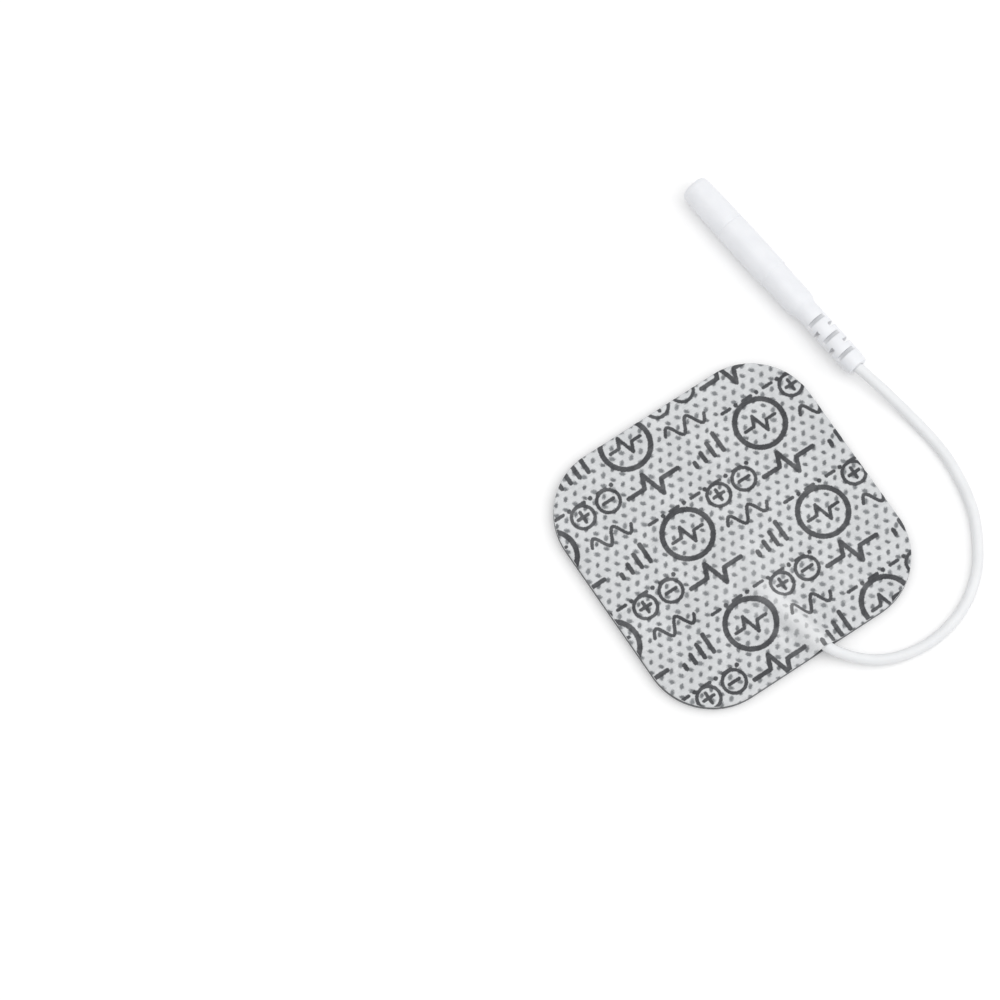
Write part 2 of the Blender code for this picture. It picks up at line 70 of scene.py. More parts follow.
ROUTE_CORNER = Vector((PAD_HALF, -PAD_HALF, 0.0))

# Lead's route past the exit: millimetres from the pad's +X -Y corner, then the share of the height
ROUTE_FALL = (
    (-16.95, -2.34, 0.80),
    (-15.18, -4.28, 0.52),
    (-13.02, -5.67, 0.24),
    (-10.57, -6.50, 0.04),
)
ROUTE_FLOOR = (
    (-7.88, -7.03), (-4.93, -7.00), (-2.67, -6.58), (-0.14, -5.76), (2.33, -4.35),
    (4.28, -2.78), (5.66, -1.24), (7.15, 1.07), (8.57, 3.46), (9.52, 6.17),
    (10.10, 9.11), (10.48, 12.20), (10.39, 15.37),
)
ROUTE_RISE = (
    (9.92, 18.78, 0.06),
    (9.19, 22.38, 0.34),
    (8.33, 26.07, 0.74),
)
LEAD_POINT_STEP = 0.45 * MM
LEAD_SEAT_DEPTH = 0.4 * MM

# Ridge over the lead and low swell over the strands, as the CAD frame has them
RIDGE_CLEARANCE = 0.05 * MM
RIDGE_FADE = 5.0 * MM
RIDGE_HEIGHT = LEAD_HELD_Z + LEAD_RADIUS + RIDGE_CLEARANCE - CLOTH_Z
RIDGE_HALF_WIDTH = math.pi * math.sqrt(RIDGE_HEIGHT * (LEAD_RADIUS + RIDGE_CLEARANCE) / 2)
END_GAP = 0.3 * MM
SWELL_HEIGHT = 0.3 * MM
SWELL_MIDDLE = LEAD_HELD_LENGTH + 4.0 * MM
SWELL_RADIUS = 4.52 * MM
SWELL_FADE = 2.4 * MM

# Bond points pressed into the cloth: rows along X, every second row moved by half a pitch
BOND_PITCH_X = 1.527 * MM
BOND_PITCH_Y = 1.2545 * MM
BOND_PHASE_X = -0.07 * MM
BOND_HALF_LENGTH = 0.40 * MM
BOND_HALF_WIDTH = 0.27 * MM
BOND_TURNS = (math.radians(132.6), math.radians(46.1))
BOND_DEPTH = 0.17 * MM
BOND_SOLID = 0.55
BOND_EDGE = 1.45

# Folds in the cloth in millimetres: start, end, height, half width. The first two lift it off and
# carry a painted highlight along them.
LIFTING_LIT_FOLDS = (
    ((-2.6, -18.6), (-3.7, -10.9), 0.10, 0.55),
    ((10.9, -16.9), (7.6, -10.3), 0.09, 0.60),
)
FLAT_FOLDS = (
    ((4.2, -10.2), (6.6, -6.0), 0.05, 0.70),
    ((-1.9, -16.2), (-3.3, -19.5), 0.10, 0.25),
    ((-6.4, -19.1), (-7.9, -19.5), 0.06, 0.30),
    ((-1.7, -13.9), (-3.4, -12.3), 0.07, 0.28),
)
# Slow waves in the cloth: turns along X and Y for each millimetre, phase, height in millimetres
CLOTH_WAVES = (
    (0.31, 0.17, 0.4, 0.030),
    (-0.22, 0.41, 1.9, 0.022),
    (0.52, -0.36, 3.1, 0.012),
)
CLOTH_GRID = 256
CLOTH_UNDER_GRID = 64
SLAB_SEGMENTS = 320
CLOTH_EDGE_DROP = 0.07 * MM
CLOTH_EDGE_INSET = 0.03 * MM
CLOTH_SLOPE_STEP = 0.05 * MM
CLOTH_CALM_SHARE = 1 / 8
RIDGE_BOND_FADE = 0.6

# How much the cloth counts as lifted and lit, which pales it, its bond points and its print: partly
# the cloth lying off the dark film, partly painted highlight along the crest, the folds and the
# exit
RIDGE_LIFT_AND_LIGHT = 1.15
SWELL_LIFT_AND_LIGHT = 0.30
FOLD_LIFT_AND_LIGHT = 0.55
FOLD_LIFT_AND_LIGHT_REACH = 0.9
EXIT_LIFT_AND_LIGHT = 0.95
EXIT_LIFT_AND_LIGHT_REACH = 1.7

# Connector, as the CAD frame has it
COLLAR_OFFSET_X = 7.36 * MM
COLLAR_OFFSET_Y = 29.76 * MM
CONNECTOR_HEADING = math.radians(96.6)
CONNECTOR_ROLL = math.radians(12.0)
NOSE_LENGTH = 7.7 * MM
GRIP_LENGTH = 9.15 * MM
BODY_LENGTH = 5.75 * MM
SHOULDER_LENGTH = 0.85 * MM
COLLAR_LENGTH = 1.7 * MM
TIP_DIAMETER = 4.1 * MM
GRIP_DIAMETER = 4.45 * MM
STEP_DEPTH = 0.13 * MM
BODY_TAPER = 0.05 * MM
RELIEF_DIAMETER = 3.3 * MM
COLLAR_DIAMETER = 3.0 * MM
TIP_EDGE_RADIUS = 0.8 * MM
RING_GROOVE_WIDTH = 0.3 * MM
RING_GROOVE_DEPTH = 0.09 * MM
RING_STEP_DEPTH = 0.05 * MM
SLOT_COUNT = 5
SLOT_WIDTH = 0.6 * MM
SLOT_PITCH = 1.52 * MM
FIRST_SLOT_OFFSET = 2.45 * MM
LAST_SLOT_OFFSET = 0.32 * MM
SLOT_WEB = 1.8 * MM
SOCKET_DIAMETER = 2.0 * MM
CONTACT_DIAMETER = 2.64 * MM
CONTACT_TUBE_LENGTH = 10.5 * MM
CONTACT_FLOOR = 0.8 * MM
CONTACT_RECESS = 1.0 * MM
CRIMP_DIAMETER = 1.9 * MM
CRIMP_LENGTH = 3.6 * MM
SLIT_WIDTH = 0.3 * MM
SLIT_LENGTH = 7.0 * MM
MOUTH_CLEARANCE = 0.1 * MM
MOUTH_CHAMFER = 0.1 * MM
LEAD_HOLE_CLEARANCE = 0.06 * MM
RELIEF_LENGTH = (
    FIRST_SLOT_OFFSET + (SLOT_COUNT - 1) * SLOT_PITCH + SLOT_WIDTH / 2 + LAST_SLOT_OFFSET
)
HOUSING_LENGTH = (
    NOSE_LENGTH + GRIP_LENGTH + BODY_LENGTH + SHOULDER_LENGTH + RELIEF_LENGTH + COLLAR_LENGTH
)
CONNECTOR_Z = GRIP_DIAMETER / 2 + FLOOR_CLEARANCE
COLLAR_END = ROUTE_CORNER + Vector((COLLAR_OFFSET_X, COLLAR_OFFSET_Y, CONNECTOR_Z))
CONNECTOR_AXIS = Vector((math.cos(CONNECTOR_HEADING), math.sin(CONNECTOR_HEADING), 0.0))
MOULDING_STEPS = 96
SLEEVE_STEPS = 64
SLOT_EDGE_ROUND = 0.05 * MM
# Painted shade in the bend relief's slots fades in between these depths below its skin
SLOT_SHADE_START = 0.03 * MM
SLOT_SHADE_DEPTH = 0.18 * MM
TIP_EDGE_STEPS = 10
NOSE_SEGMENTS = 8
SEAM_HEIGHT = 0.015 * MM

# Generic print: plain signs in a cell that repeats, in millimetres
PRINT_CELL_WIDTH = 17.0
PRINT_CELL_HEIGHT = 15.0
PRINT_START = (-26.6, -29.5)
PRINT_COLUMNS = 4
PRINT_ROWS = 5
FINE_STROKE = 0.25
BOLD_STROKE = 0.33
RING_STROKE = 0.38

# Finishes: pairs of linear colours that a pattern mixes, then single colours and shares
CLOTH_TONES = ((0.600, 0.612, 0.622, 1.0), (0.700, 0.713, 0.723, 1.0))
BOND_TONES = ((0.138, 0.146, 0.154, 1.0), (0.232, 0.243, 0.254, 1.0))
INK_TONES = ((0.031, 0.032, 0.036, 1.0), (0.058, 0.060, 0.066, 1.0))
LEAD_TONES = ((0.797, 0.807, 0.818, 1.0), (0.824, 0.834, 0.844, 1.0))
MOULDING_TONES = ((0.818, 0.829, 0.856, 1.0), (0.846, 0.857, 0.883, 1.0))
GEL_LOW_TONES = ((0.200, 0.210, 0.220, 1.0), (0.290, 0.302, 0.312, 1.0))
GEL_HIGH_TONES = ((0.075, 0.079, 0.085, 1.0), (0.130, 0.136, 0.143, 1.0))
GEL_FACE_TONES = ((0.085, 0.090, 0.097, 1.0), (0.165, 0.172, 0.180, 1.0))
FILM_TONES = ((0.018, 0.018, 0.020, 1.0), (0.046, 0.046, 0.050, 1.0))
PLATED_TONES = ((0.62, 0.60, 0.55, 1.0), (0.82, 0.80, 0.75, 1.0))
COPPER_TONES = ((0.62, 0.30, 0.16, 1.0), (0.90, 0.52, 0.34, 1.0))
CLOTH_BLOTCH = (0.450, 0.461, 0.471, 1.0)
CLOTH_FIBRE = (0.790, 0.801, 0.811, 1.0)
# Painted highlight: paler cloth along the lifted crest, folds and exit
CLOTH_RAISED_HIGHLIGHT = (0.820, 0.828, 0.836, 1.0)
# Painted shade down in the bend relief's slots
SLOT_PAINTED_SHADE = (0.56, 0.565, 0.58, 1.0)
BLOTCH_SHARE = 0.30
FIBRE_SHARE = 0.30
# Painted highlight on lifted cloth: its share and how fast it grows, then the fade of the bond
# points and the painted highlight on the print
RAISED_HIGHLIGHT_SHARE = 0.62
RAISED_HIGHLIGHT_POWER = 1.5
RAISED_BOND_FADE = 0.50
RAISED_INK_HIGHLIGHT = 0.10
# Share of painted shade down in the slots
SLOT_PAINTED_SHADE_SHARE = 0.62
CLOTH_ROUGHNESS = 0.86
BOND_ROUGHNESS = 0.48
INK_COVER = 0.98
INK_EDGE_RAGGED = 0.26
INK_EDGE_SOFT = 0.07
VINYL_ROUGHNESS_SPREAD = 0.10
METAL_ROUGHNESS_SPREAD = 0.16
GEL_PALE_HEIGHT = 0.02 * MM
GEL_DARK_HEIGHT = 0.45 * MM

# Studio: the floor and the world are white to the camera and shed a softer light
WHITE = (1.0, 1.0, 1.0, 1.0)
BLACK = (0.0, 0.0, 0.0, 1.0)
FLOOR_BOUNCE = (0.85, 0.85, 0.85, 1.0)
FLOOR_GLOW = (0.04, 0.04, 0.04, 1.0)
FLOOR_HALF = 3.0
FLOOR_DROP = 0.01 * MM
WORLD_LIGHT = (0.74, 0.74, 0.742, 1.0)
LAMP_DISTANCE = 1.6
LAMP_SIZE = 1.4
TOP_LAMP = ((0.0, 0.0, 1.0), 5.2)
SIDE_LAMP = ((0.536, -0.355, 0.766), 6.0)

# Photograph's viewpoint: a camera over the pad's -X -Y side
CAMERA_AZIMUTH = math.radians(-33.53)
CAMERA_ELEVATION = math.radians(73.87)
CAMERA_DISTANCE = 550.0 * MM
CAMERA_TARGET = Vector((-23.27, 21.50, 0.0)) * MM
CAMERA_LENS = 146.3
CAMERA_SENSOR = 36.0


def wire(tree, value, socket):
    """Feeds a socket from another one, or sets its plain value."""
    if isinstance(value, bpy.types.NodeSocket):
        tree.links.new(value, socket)
    else:
        socket.default_value = value


def calc(tree, operation, *values):
    """Adds a Math node and gives its result."""
    node = tree.nodes.new("ShaderNodeMath")
    node.operation = operation
    for value, socket in zip(values, node.inputs):
        wire(tree, value, socket)
    return node.outputs[0]


def times(tree, first, second):
    """Multiplies two values."""
    return calc(tree, "MULTIPLY", first, second)


def ease(tree, value, start, end, low=0.0, high=1.0):
    """Adds a smooth step from low at start to high at end."""
    node = tree.nodes.new("ShaderNodeMapRange")
    node.interpolation_type = "SMOOTHSTEP"
    wire(tree, value, node.inputs["Value"])
    node.inputs["From Min"].default_value = start
    node.inputs["From Max"].default_value = end
    node.inputs["To Min"].default_value = low
    node.inputs["To Max"].default_value = high
    return node.outputs["Result"]


def noise(tree, vector, scale, detail=2.0, roughness=0.5):
    """Adds a noise texture and gives its grey value."""
    node = tree.nodes.new("ShaderNodeTexNoise")
    wire(tree, vector, node.inputs["Vector"])
    wire(tree, scale, node.inputs["Scale"])
    node.inputs["Detail"].default_value = detail
    node.inputs["Roughness"].default_value = roughness
    return node.outputs["Fac"]


def mapped(tree, vector, turn=0.0, scale=(1.0, 1.0, 1.0), shift=(0.0, 0.0, 0.0)):
    """Adds a Mapping node that turns about Z, stretches and moves a pattern."""
    node = tree.nodes.new("ShaderNodeMapping")
    wire(tree, vector, node.inputs["Vector"])
    node.inputs["Rotation"].default_value = (0.0, 0.0, turn)
    node.inputs["Scale"].default_value = scale
    node.inputs["Location"].default_value = shift
    return node.outputs["Vector"]


def mixed(tree, share, first, second):
    """Mixes two colours."""
    node = tree.nodes.new("ShaderNodeMix")
    node.data_type = "RGBA"
    wire(tree, share, node.inputs[0])
    wire(tree, first, node.inputs[6])
    wire(tree, second, node.inputs[7])
    return node.outputs[2]


def bumped(tree, height, distance, strength=1.0):
    """Adds a Bump node and gives its normal."""
    node = tree.nodes.new("ShaderNodeBump")
    node.inputs["Strength"].default_value = strength
    node.inputs["Distance"].default_value = distance
    wire(tree, height, node.inputs["Height"])
    return node.outputs["Normal"]


def new_group(name, inputs, outputs):
    """Starts a shader node group with float and vector sockets."""
    tree = bpy.data.node_groups.new(name, "ShaderNodeTree")
    for label, kind in inputs:
        tree.interface.new_socket(name=label, in_out="INPUT", socket_type=kind)
    for label in outputs:
        tree.interface.new_socket(name=label, in_out="OUTPUT", socket_type="NodeSocketFloat")
    return tree, tree.nodes.new("NodeGroupInput"), tree.nodes.new("NodeGroupOutput")


def use_group(tree, group, **values):
    """Places a node group and feeds its inputs."""
    node = tree.nodes.new("ShaderNodeGroup")
    node.node_tree = group
    for label, value in values.items():
        wire(tree, value, node.inputs[label])
    return node


def make_vinyl_group():
    """Soft vinyl: slow sink marks, fine matt grain and a faint cloudiness of tint."""
    tree, start, end = new_group(
        "vinyl grain",
        (("Vector", "NodeSocketVector"), ("Grain", "NodeSocketFloat")),
        ("Height", "Cloud", "Fine"),
    )
    place = start.outputs["Vector"]
    slow = noise(tree, place, 420.0, 2.0, 0.5)
    fine = noise(tree, place, start.outputs["Grain"], 3.0, 0.6)
    height = calc(tree, "ADD", times(tree, slow, 0.7), times(tree, fine, 0.3))
    tree.links.new(height, end.inputs["Height"])
    tree.links.new(ease(tree, slow, 0.3, 0.7), end.inputs["Cloud"])
    tree.links.new(ease(tree, fine, 0.35, 0.65), end.inputs["Fine"])
    return tree


def make_fibre_group():
    """Web of fine fibres that lie in three directions, as in non-woven cloth."""
    tree, start, end = new_group(
        "fibre web", (("Vector", "NodeSocketVector"),), ("Height", "Shade")
    )
    webs = []
    for turn, across, along, offset in (
        (0.35, 9000.0, 900.0, 0.0),
        (1.45, 8200.0, 1000.0, 3.7),
        (-0.80, 9600.0, 800.0, 8.1),
    ):
        place = mapped(tree, start.outputs["Vector"], turn, (along, across, 1000.0), (offset,) * 3)
        webs.append(noise(tree, place, 1.0, 2.0, 0.55))
    top = calc(tree, "MAXIMUM", calc(tree, "MAXIMUM", webs[0], webs[1]), webs[2])
    tree.links.new(top, end.inputs["Height"])
    tree.links.new(ease(tree, top, 0.42, 0.72), end.inputs["Shade"])
    return tree


def make_bond_group():
    """Bond points of the cloth: oval marks on a staggered lattice, turned row by row."""
    tree, start, end = new_group(
        "bond points", (("Vector", "NodeSocketVector"),), ("Mask", "Chance")
    )
    split = tree.nodes.new("ShaderNodeSeparateXYZ")
    tree.links.new(start.outputs["Vector"], split.inputs["Vector"])
    row = calc(tree, "ROUND", calc(tree, "DIVIDE", split.outputs["Y"], BOND_PITCH_Y))
    odd = calc(tree, "FLOORED_MODULO", row, 2.0)
    away_y = calc(tree, "SUBTRACT", split.outputs["Y"], times(tree, row, BOND_PITCH_Y))
    shift = calc(tree, "MULTIPLY_ADD", odd, BOND_PITCH_X / 2, BOND_PHASE_X)
    from_shift = calc(tree, "SUBTRACT", split.outputs["X"], shift)
    column = calc(tree, "ROUND", calc(tree, "DIVIDE", from_shift, BOND_PITCH_X))
    away_x = calc(tree, "SUBTRACT", from_shift, times(tree, column, BOND_PITCH_X))
    even_turn, odd_turn = BOND_TURNS
    cosine = calc(
        tree, "MULTIPLY_ADD", odd, math.cos(odd_turn) - math.cos(even_turn), math.cos(even_turn)
    )
    sine = calc(
        tree, "MULTIPLY_ADD", odd, math.sin(odd_turn) - math.sin(even_turn), math.sin(even_turn)
    )
    along_x, along_y = times(tree, away_x, cosine), times(tree, away_y, sine)
    along = calc(tree, "ADD", along_x, along_y)
    across_y, across_x = times(tree, away_y, cosine), times(tree, away_x, sine)
    across = calc(tree, "SUBTRACT", across_y, across_x)
    chance_node = tree.nodes.new("ShaderNodeTexWhiteNoise")
    chance_node.noise_dimensions = "2D"
    cell = tree.nodes.new("ShaderNodeCombineXYZ")
    tree.links.new(column, cell.inputs["X"])
    tree.links.new(row, cell.inputs["Y"])
    tree.links.new(cell.outputs["Vector"], chance_node.inputs["Vector"])
    chance = chance_node.outputs["Value"]
    size = calc(tree, "MULTIPLY_ADD", chance, 0.24, 0.88)
    lengthwise = calc(tree, "POWER", calc(tree, "DIVIDE", along, BOND_HALF_LENGTH), 2.0)
    crosswise = calc(tree, "POWER", calc(tree, "DIVIDE", across, BOND_HALF_WIDTH), 2.0)
    reach = calc(tree, "SQRT", calc(tree, "ADD", lengthwise, crosswise))
    ragged = calc(tree, "MULTIPLY_ADD", noise(tree, start.outputs["Vector"], 4600.0), 1.3, -0.65)
    edge = calc(tree, "ADD", calc(tree, "DIVIDE", reach, size), ragged)
    tree.links.new(ease(tree, edge, BOND_SOLID, BOND_EDGE, 1.0, 0.0), end.inputs["Mask"])
    tree.links.new(chance, end.inputs["Chance"])
    return tree


def start_material(name, roughness, metallic=0.0):
    """Starts a material and gives it, its tree, its shader and its Object coordinates."""
    material = bpy.data.materials.new(name)
    material.use_nodes = True
    tree = material.node_tree
    shader = tree.nodes["Principled BSDF"]
    shader.inputs["Roughness"].default_value = roughness
    shader.inputs["Metallic"].default_value = metallic
    place = tree.nodes.new("ShaderNodeTexCoord").outputs["Object"]
    return material, tree, shader, place


def cloth_material(bond_group, fibre_group):
    """Pale non-woven cloth with pressed bond points, a dark generic print and painted highlight
    where it is lifted.
    """
    material, tree, shader, place = start_material("printed non-woven cloth", CLOTH_ROUGHNESS)
    lifted_and_lit = tree.nodes.new("ShaderNodeAttribute")
    lifted_and_lit.attribute_name = "lifted_and_lit"
    inked = tree.nodes.new("ShaderNodeAttribute")
    inked.attribute_name = "ink_distance"
    bond = use_group(tree, bond_group, Vector=place)
    web = use_group(tree, fibre_group, Vector=place)

    cloudy = noise(tree, place, 260.0, 4.0, 0.62)
    cloth = mixed(tree, ease(tree, cloudy, 0.32, 0.70), *CLOTH_TONES)
    blotchy = noise(tree, place, 1900.0, 3.0, 0.62)
    cloth = mixed(tree, ease(tree, blotchy, 0.36, 0.68, BLOTCH_SHARE, 0.0), cloth, CLOTH_BLOTCH)
    fibres = times(tree, web.outputs["Shade"], FIBRE_SHARE)
    cloth = mixed(tree, fibres, cloth, CLOTH_FIBRE)
    # Painted highlight: lifted cloth mixed towards a paler colour
    raised_highlight = calc(tree, "POWER", lifted_and_lit.outputs["Fac"], RAISED_HIGHLIGHT_POWER)
    cloth = mixed(tree, times(tree, raised_highlight, RAISED_HIGHLIGHT_SHARE), cloth, CLOTH_RAISED_HIGHLIGHT)
    held_down = calc(tree, "MULTIPLY_ADD", lifted_and_lit.outputs["Fac"], -RAISED_BOND_FADE, 1.0)
    pressed = times(tree, bond.outputs["Mask"], held_down)
    marked = mixed(tree, pressed, cloth, mixed(tree, bond.outputs["Chance"], *BOND_TONES))

    uneven = noise(tree, place, 5200.0, 3.0, 0.6)
    ragged = calc(tree, "MULTIPLY_ADD", uneven, INK_EDGE_RAGGED, -INK_EDGE_RAGGED / 2)
    edge = calc(tree, "ADD", inked.outputs["Fac"], ragged)
    covered = ease(tree, edge, -INK_EDGE_SOFT, INK_EDGE_SOFT, 1.0, 0.0)
    thin = calc(tree, "MULTIPLY_ADD", ease(tree, cloudy, 0.35, 0.75), -0.10, INK_COVER)
    # Painted highlight that pales the print on lifted cloth
    ink_highlight = times(tree, lifted_and_lit.outputs["Fac"], RAISED_INK_HIGHLIGHT)
    ink = times(tree, covered, calc(tree, "SUBTRACT", thin, ink_highlight))
    ink_shade = mixed(tree, web.outputs["Shade"], *INK_TONES)
    tree.links.new(mixed(tree, ink, marked, ink_shade), shader.inputs["Base Color"])

    smoother = BOND_ROUGHNESS - CLOTH_ROUGHNESS
    rough = calc(tree, "MULTIPLY_ADD", bond.outputs["Mask"], smoother, CLOTH_ROUGHNESS)
    tree.links.new(rough, shader.inputs["Roughness"])
    raised_web = times(tree, web.outputs["Height"], 0.7)
    sunk_bonds = times(tree, bond.outputs["Mask"], 0.45)
    height = calc(tree, "SUBTRACT", raised_web, sunk_bonds)
    tree.links.new(bumped(tree, height, 0.05 * MM, 0.7), shader.inputs["Normal"])
    shader.inputs["Sheen Weight"].default_value = 0.12
    shader.inputs["Specular IOR Level"].default_value = 0.35
    return material


def vector_calc(tree, operation, first, second=None):
    """Adds a Vector Math node between two vectors and gives the node."""
    node = tree.nodes.new("ShaderNodeVectorMath")
    node.operation = operation
    wire(tree, first, node.inputs[0])
    if second is not None:
        wire(tree, second, node.inputs[1])
    return node


def slot_shade_mask(tree, place):
    """Share from 0 on the bend relief's skin to 1 down in its slots, the mask of the painted shade
    there.
    """
    axis = tuple(CONNECTOR_AXIS)
    skin = RELIEF_DIAMETER / 2
    from_collar = vector_calc(tree, "SUBTRACT", place, tuple(COLLAR_END)).outputs["Vector"]
    along = vector_calc(tree, "DOT_PRODUCT", from_collar, axis).outputs["Value"]
    sideways = vector_calc(tree, "CROSS_PRODUCT", from_collar, axis).outputs["Vector"]
    away = vector_calc(tree, "LENGTH", sideways).outputs["Value"]
    slot_shade = ease(tree, away, skin - SLOT_SHADE_DEPTH, skin - SLOT_SHADE_START, 1.0, 0.0)
    past_collar = calc(tree, "GREATER_THAN", along, COLLAR_LENGTH)
    before_shoulder = calc(tree, "LESS_THAN", along, COLLAR_LENGTH + RELIEF_LENGTH)
    return times(tree, slot_shade, times(tree, past_collar, before_shoulder))


def vinyl_material(name, group, tones, roughness, grain, shade_slots=False):
    """Soft white vinyl for the lead's jacket and the moulding, with painted shade down in the
    moulding's slots.
    """
    material, tree, shader, place = start_material(name, roughness)
    grainy = use_group(tree, group, Vector=place, Grain=grain)
    colour = mixed(tree, grainy.outputs["Cloud"], *tones)
    if shade_slots:
        # Painted shade: greys the moulding down in the bend relief's slots
        slot_shade = times(tree, slot_shade_mask(tree, place), SLOT_PAINTED_SHADE_SHARE)
        colour = mixed(tree, slot_shade, colour, SLOT_PAINTED_SHADE)
    tree.links.new(colour, shader.inputs["Base Color"])
    lowest = roughness - VINYL_ROUGHNESS_SPREAD / 2
    rough = calc(tree, "MULTIPLY_ADD", grainy.outputs["Fine"], VINYL_ROUGHNESS_SPREAD, lowest)
    tree.links.new(rough, shader.inputs["Roughness"])
    tree.links.new(
        bumped(tree, grainy.outputs["Height"], 0.03 * MM, 0.35), shader.inputs["Normal"]
    )
    shader.inputs["Subsurface Weight"].default_value = 0.15
    shader.inputs["Subsurface Radius"].default_value = (1.0, 0.95, 0.9)
    shader.inputs["Subsurface Scale"].default_value = 0.6 * MM
    return material


def gel_material():
    """Tacky hydrogel: smoky and wet, paler towards its lit lower edge, dark on its flat face."""
    material, tree, shader, place = start_material("clear hydrogel", 0.16)
    split = tree.nodes.new("ShaderNodeSeparateXYZ")
    tree.links.new(place, split.inputs["Vector"])
    cloudy = noise(tree, place, 330.0, 4.0, 0.6)
    height = ease(tree, split.outputs["Z"], GEL_PALE_HEIGHT, GEL_DARK_HEIGHT)
    low = mixed(tree, cloudy, *GEL_LOW_TONES)
    side = mixed(tree, height, low, mixed(tree, cloudy, *GEL_HIGH_TONES))
    under = ease(tree, split.outputs["Z"], 0.005 * MM, 0.03 * MM, 1.0, 0.0)
    face = mixed(tree, cloudy, *GEL_FACE_TONES)
    tree.links.new(mixed(tree, under, side, face), shader.inputs["Base Color"])
    specks = noise(tree, place, 2600.0, 3.0, 0.55)
    tree.links.new(ease(tree, specks, 0.3, 0.7, 0.20, 0.36), shader.inputs["Roughness"])
    tree.links.new(bumped(tree, cloudy, 0.12 * MM, 0.5), shader.inputs["Normal"])
    shader.inputs["Specular IOR Level"].default_value = 0.4
    shader.inputs["Coat Weight"].default_value = 0.12
    shader.inputs["Coat Roughness"].default_value = 0.08
    shader.inputs["IOR"].default_value = 1.36
    return material


def film_material():
    """Black carbon film with a dull, slightly brushed face."""
    material, tree, shader, place = start_material("carbon film", 0.5)
    streak = noise(tree, mapped(tree, place, 0.2, (300.0, 4000.0, 1000.0)), 1.0, 3.0, 0.6)
    speck = noise(tree, place, 7000.0, 2.0, 0.5)
    tree.links.new(mixed(tree, streak, *FILM_TONES), shader.inputs["Base Color"])
    tree.links.new(ease(tree, speck, 0.3, 0.7, 0.42, 0.62), shader.inputs["Roughness"])
    tree.links.new(bumped(tree, speck, 0.01 * MM, 0.5), shader.inputs["Normal"])
    return material


def metal_material(name, tones, stretch, roughness):
    """Drawn metal with fine lines along its length."""
    material, tree, shader, place = start_material(name, roughness, 1.0)
    turned = mapped(tree, place, -CONNECTOR_HEADING, stretch)
    lines = noise(tree, turned, 1.0, 3.0, 0.6)
    tree.links.new(mixed(tree, lines, *tones), shader.inputs["Base Color"])
    lowest = roughness - METAL_ROUGHNESS_SPREAD / 2
    rough = calc(tree, "MULTIPLY_ADD", lines, METAL_ROUGHNESS_SPREAD, lowest)
    tree.links.new(rough, shader.inputs["Roughness"])
    tree.links.new(bumped(tree, lines, 0.01 * MM, 0.4), shader.inputs["Normal"])
    return material


def add_piece(name, mesh, material, slot, *nodes):
    """Links a finished piece, gives it its finish and lets it ride and stand for its CAD nodes."""
    piece = bpy.data.objects.new(name, mesh)
    bpy.context.scene.collection.objects.link(piece)
    mesh.materials.clear()
    mesh.materials.append(material)
    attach(piece, "root")
    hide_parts(*nodes)
    return piece


def mesh_from(shape, name, sharp_angle):
    """Turns a bmesh into a smooth-shaded mesh with sharp edges over an angle."""
    mesh = bpy.data.meshes.new(name)
    shape.to_mesh(mesh)
    shape.free()
    mesh.shade_smooth()
    mesh.set_sharp_from_angle(angle=math.radians(sharp_angle))
    return mesh


def onto_pad(u, v, inset=0.0):
    """Moves points of a square from -1 to 1 onto the pad, whose corners are rounded."""
    reach = np.maximum(np.abs(u), np.abs(v))
    half = (PAD_HALF - inset) * reach
    radius = (PAD_CORNER_RADIUS - inset) * reach**3
    side = np.abs(u) >= np.abs(v)
    main = np.where(side, u, v)
    other = np.where(side, v, u)
    share = np.abs(other) / np.maximum(reach, 1e-12)
    straight = half - radius
    run = share * (straight + radius * math.pi / 4)
    turn = np.maximum(run - straight, 0.0) / np.maximum(radius, 1e-12)
    far = np.where(run > straight, straight + radius * np.cos(turn), half)
    beside = np.where(run > straight, straight + radius * np.sin(turn), run)
    far = far * np.sign(main)
    beside = beside * np.sign(other)
    return np.where(side, far, beside), np.where(side, beside, far)


def smooth_share(value):
    """Eases from 0 to 1 as value goes from 0 to 1."""
    value = np.clip(value, 0.0, 1.0)
    return value * value * (3.0 - 2.0 * value)


def ridge_share(x, y):
    """Share of the full ridge at a point, and the share of the swell over the strands."""
    offset_x, offset_y = x - EXIT.x, y - EXIT.y
    across = offset_x * OUTWARD.y - offset_y * OUTWARD.x
    inward = -(offset_x * OUTWARD.x + offset_y * OUTWARD.y)
    crest = 0.5 + 0.5 * np.cos(math.pi * np.minimum(np.abs(across) / RIDGE_HALF_WIDTH, 1.0))
    along = 1.0 - smooth_share((inward - LEAD_HELD_LENGTH - END_GAP) / RIDGE_FADE)
    away = np.hypot(across, inward - SWELL_MIDDLE) - SWELL_RADIUS
    return crest * along, 1.0 - smooth_share(away / SWELL_FADE)


def cloth_lift(x, y):
    """Height of the cloth's underside over its flat level."""
    ridge, swell = ridge_share(x, y)
    return RIDGE_HEIGHT * ridge + SWELL_HEIGHT * swell * (1.0 - ridge)


def bond_share(x, y):
    """How deep a bond point is pressed at a place, from 0 to 1."""
    row = np.round(y / BOND_PITCH_Y)
    odd = np.mod(row, 2.0)
    away_y = y - row * BOND_PITCH_Y
    from_shift = x - BOND_PHASE_X - odd * BOND_PITCH_X / 2
    away_x = from_shift - np.round(from_shift / BOND_PITCH_X) * BOND_PITCH_X
    turn = np.where(odd > 0.5, BOND_TURNS[1], BOND_TURNS[0])
    along = away_x * np.cos(turn) + away_y * np.sin(turn)
    across = away_y * np.cos(turn) - away_x * np.sin(turn)
    reach = np.hypot(along / BOND_HALF_LENGTH, across / BOND_HALF_WIDTH)
    return 1.0 - smooth_share((reach - 0.35) / 1.15)


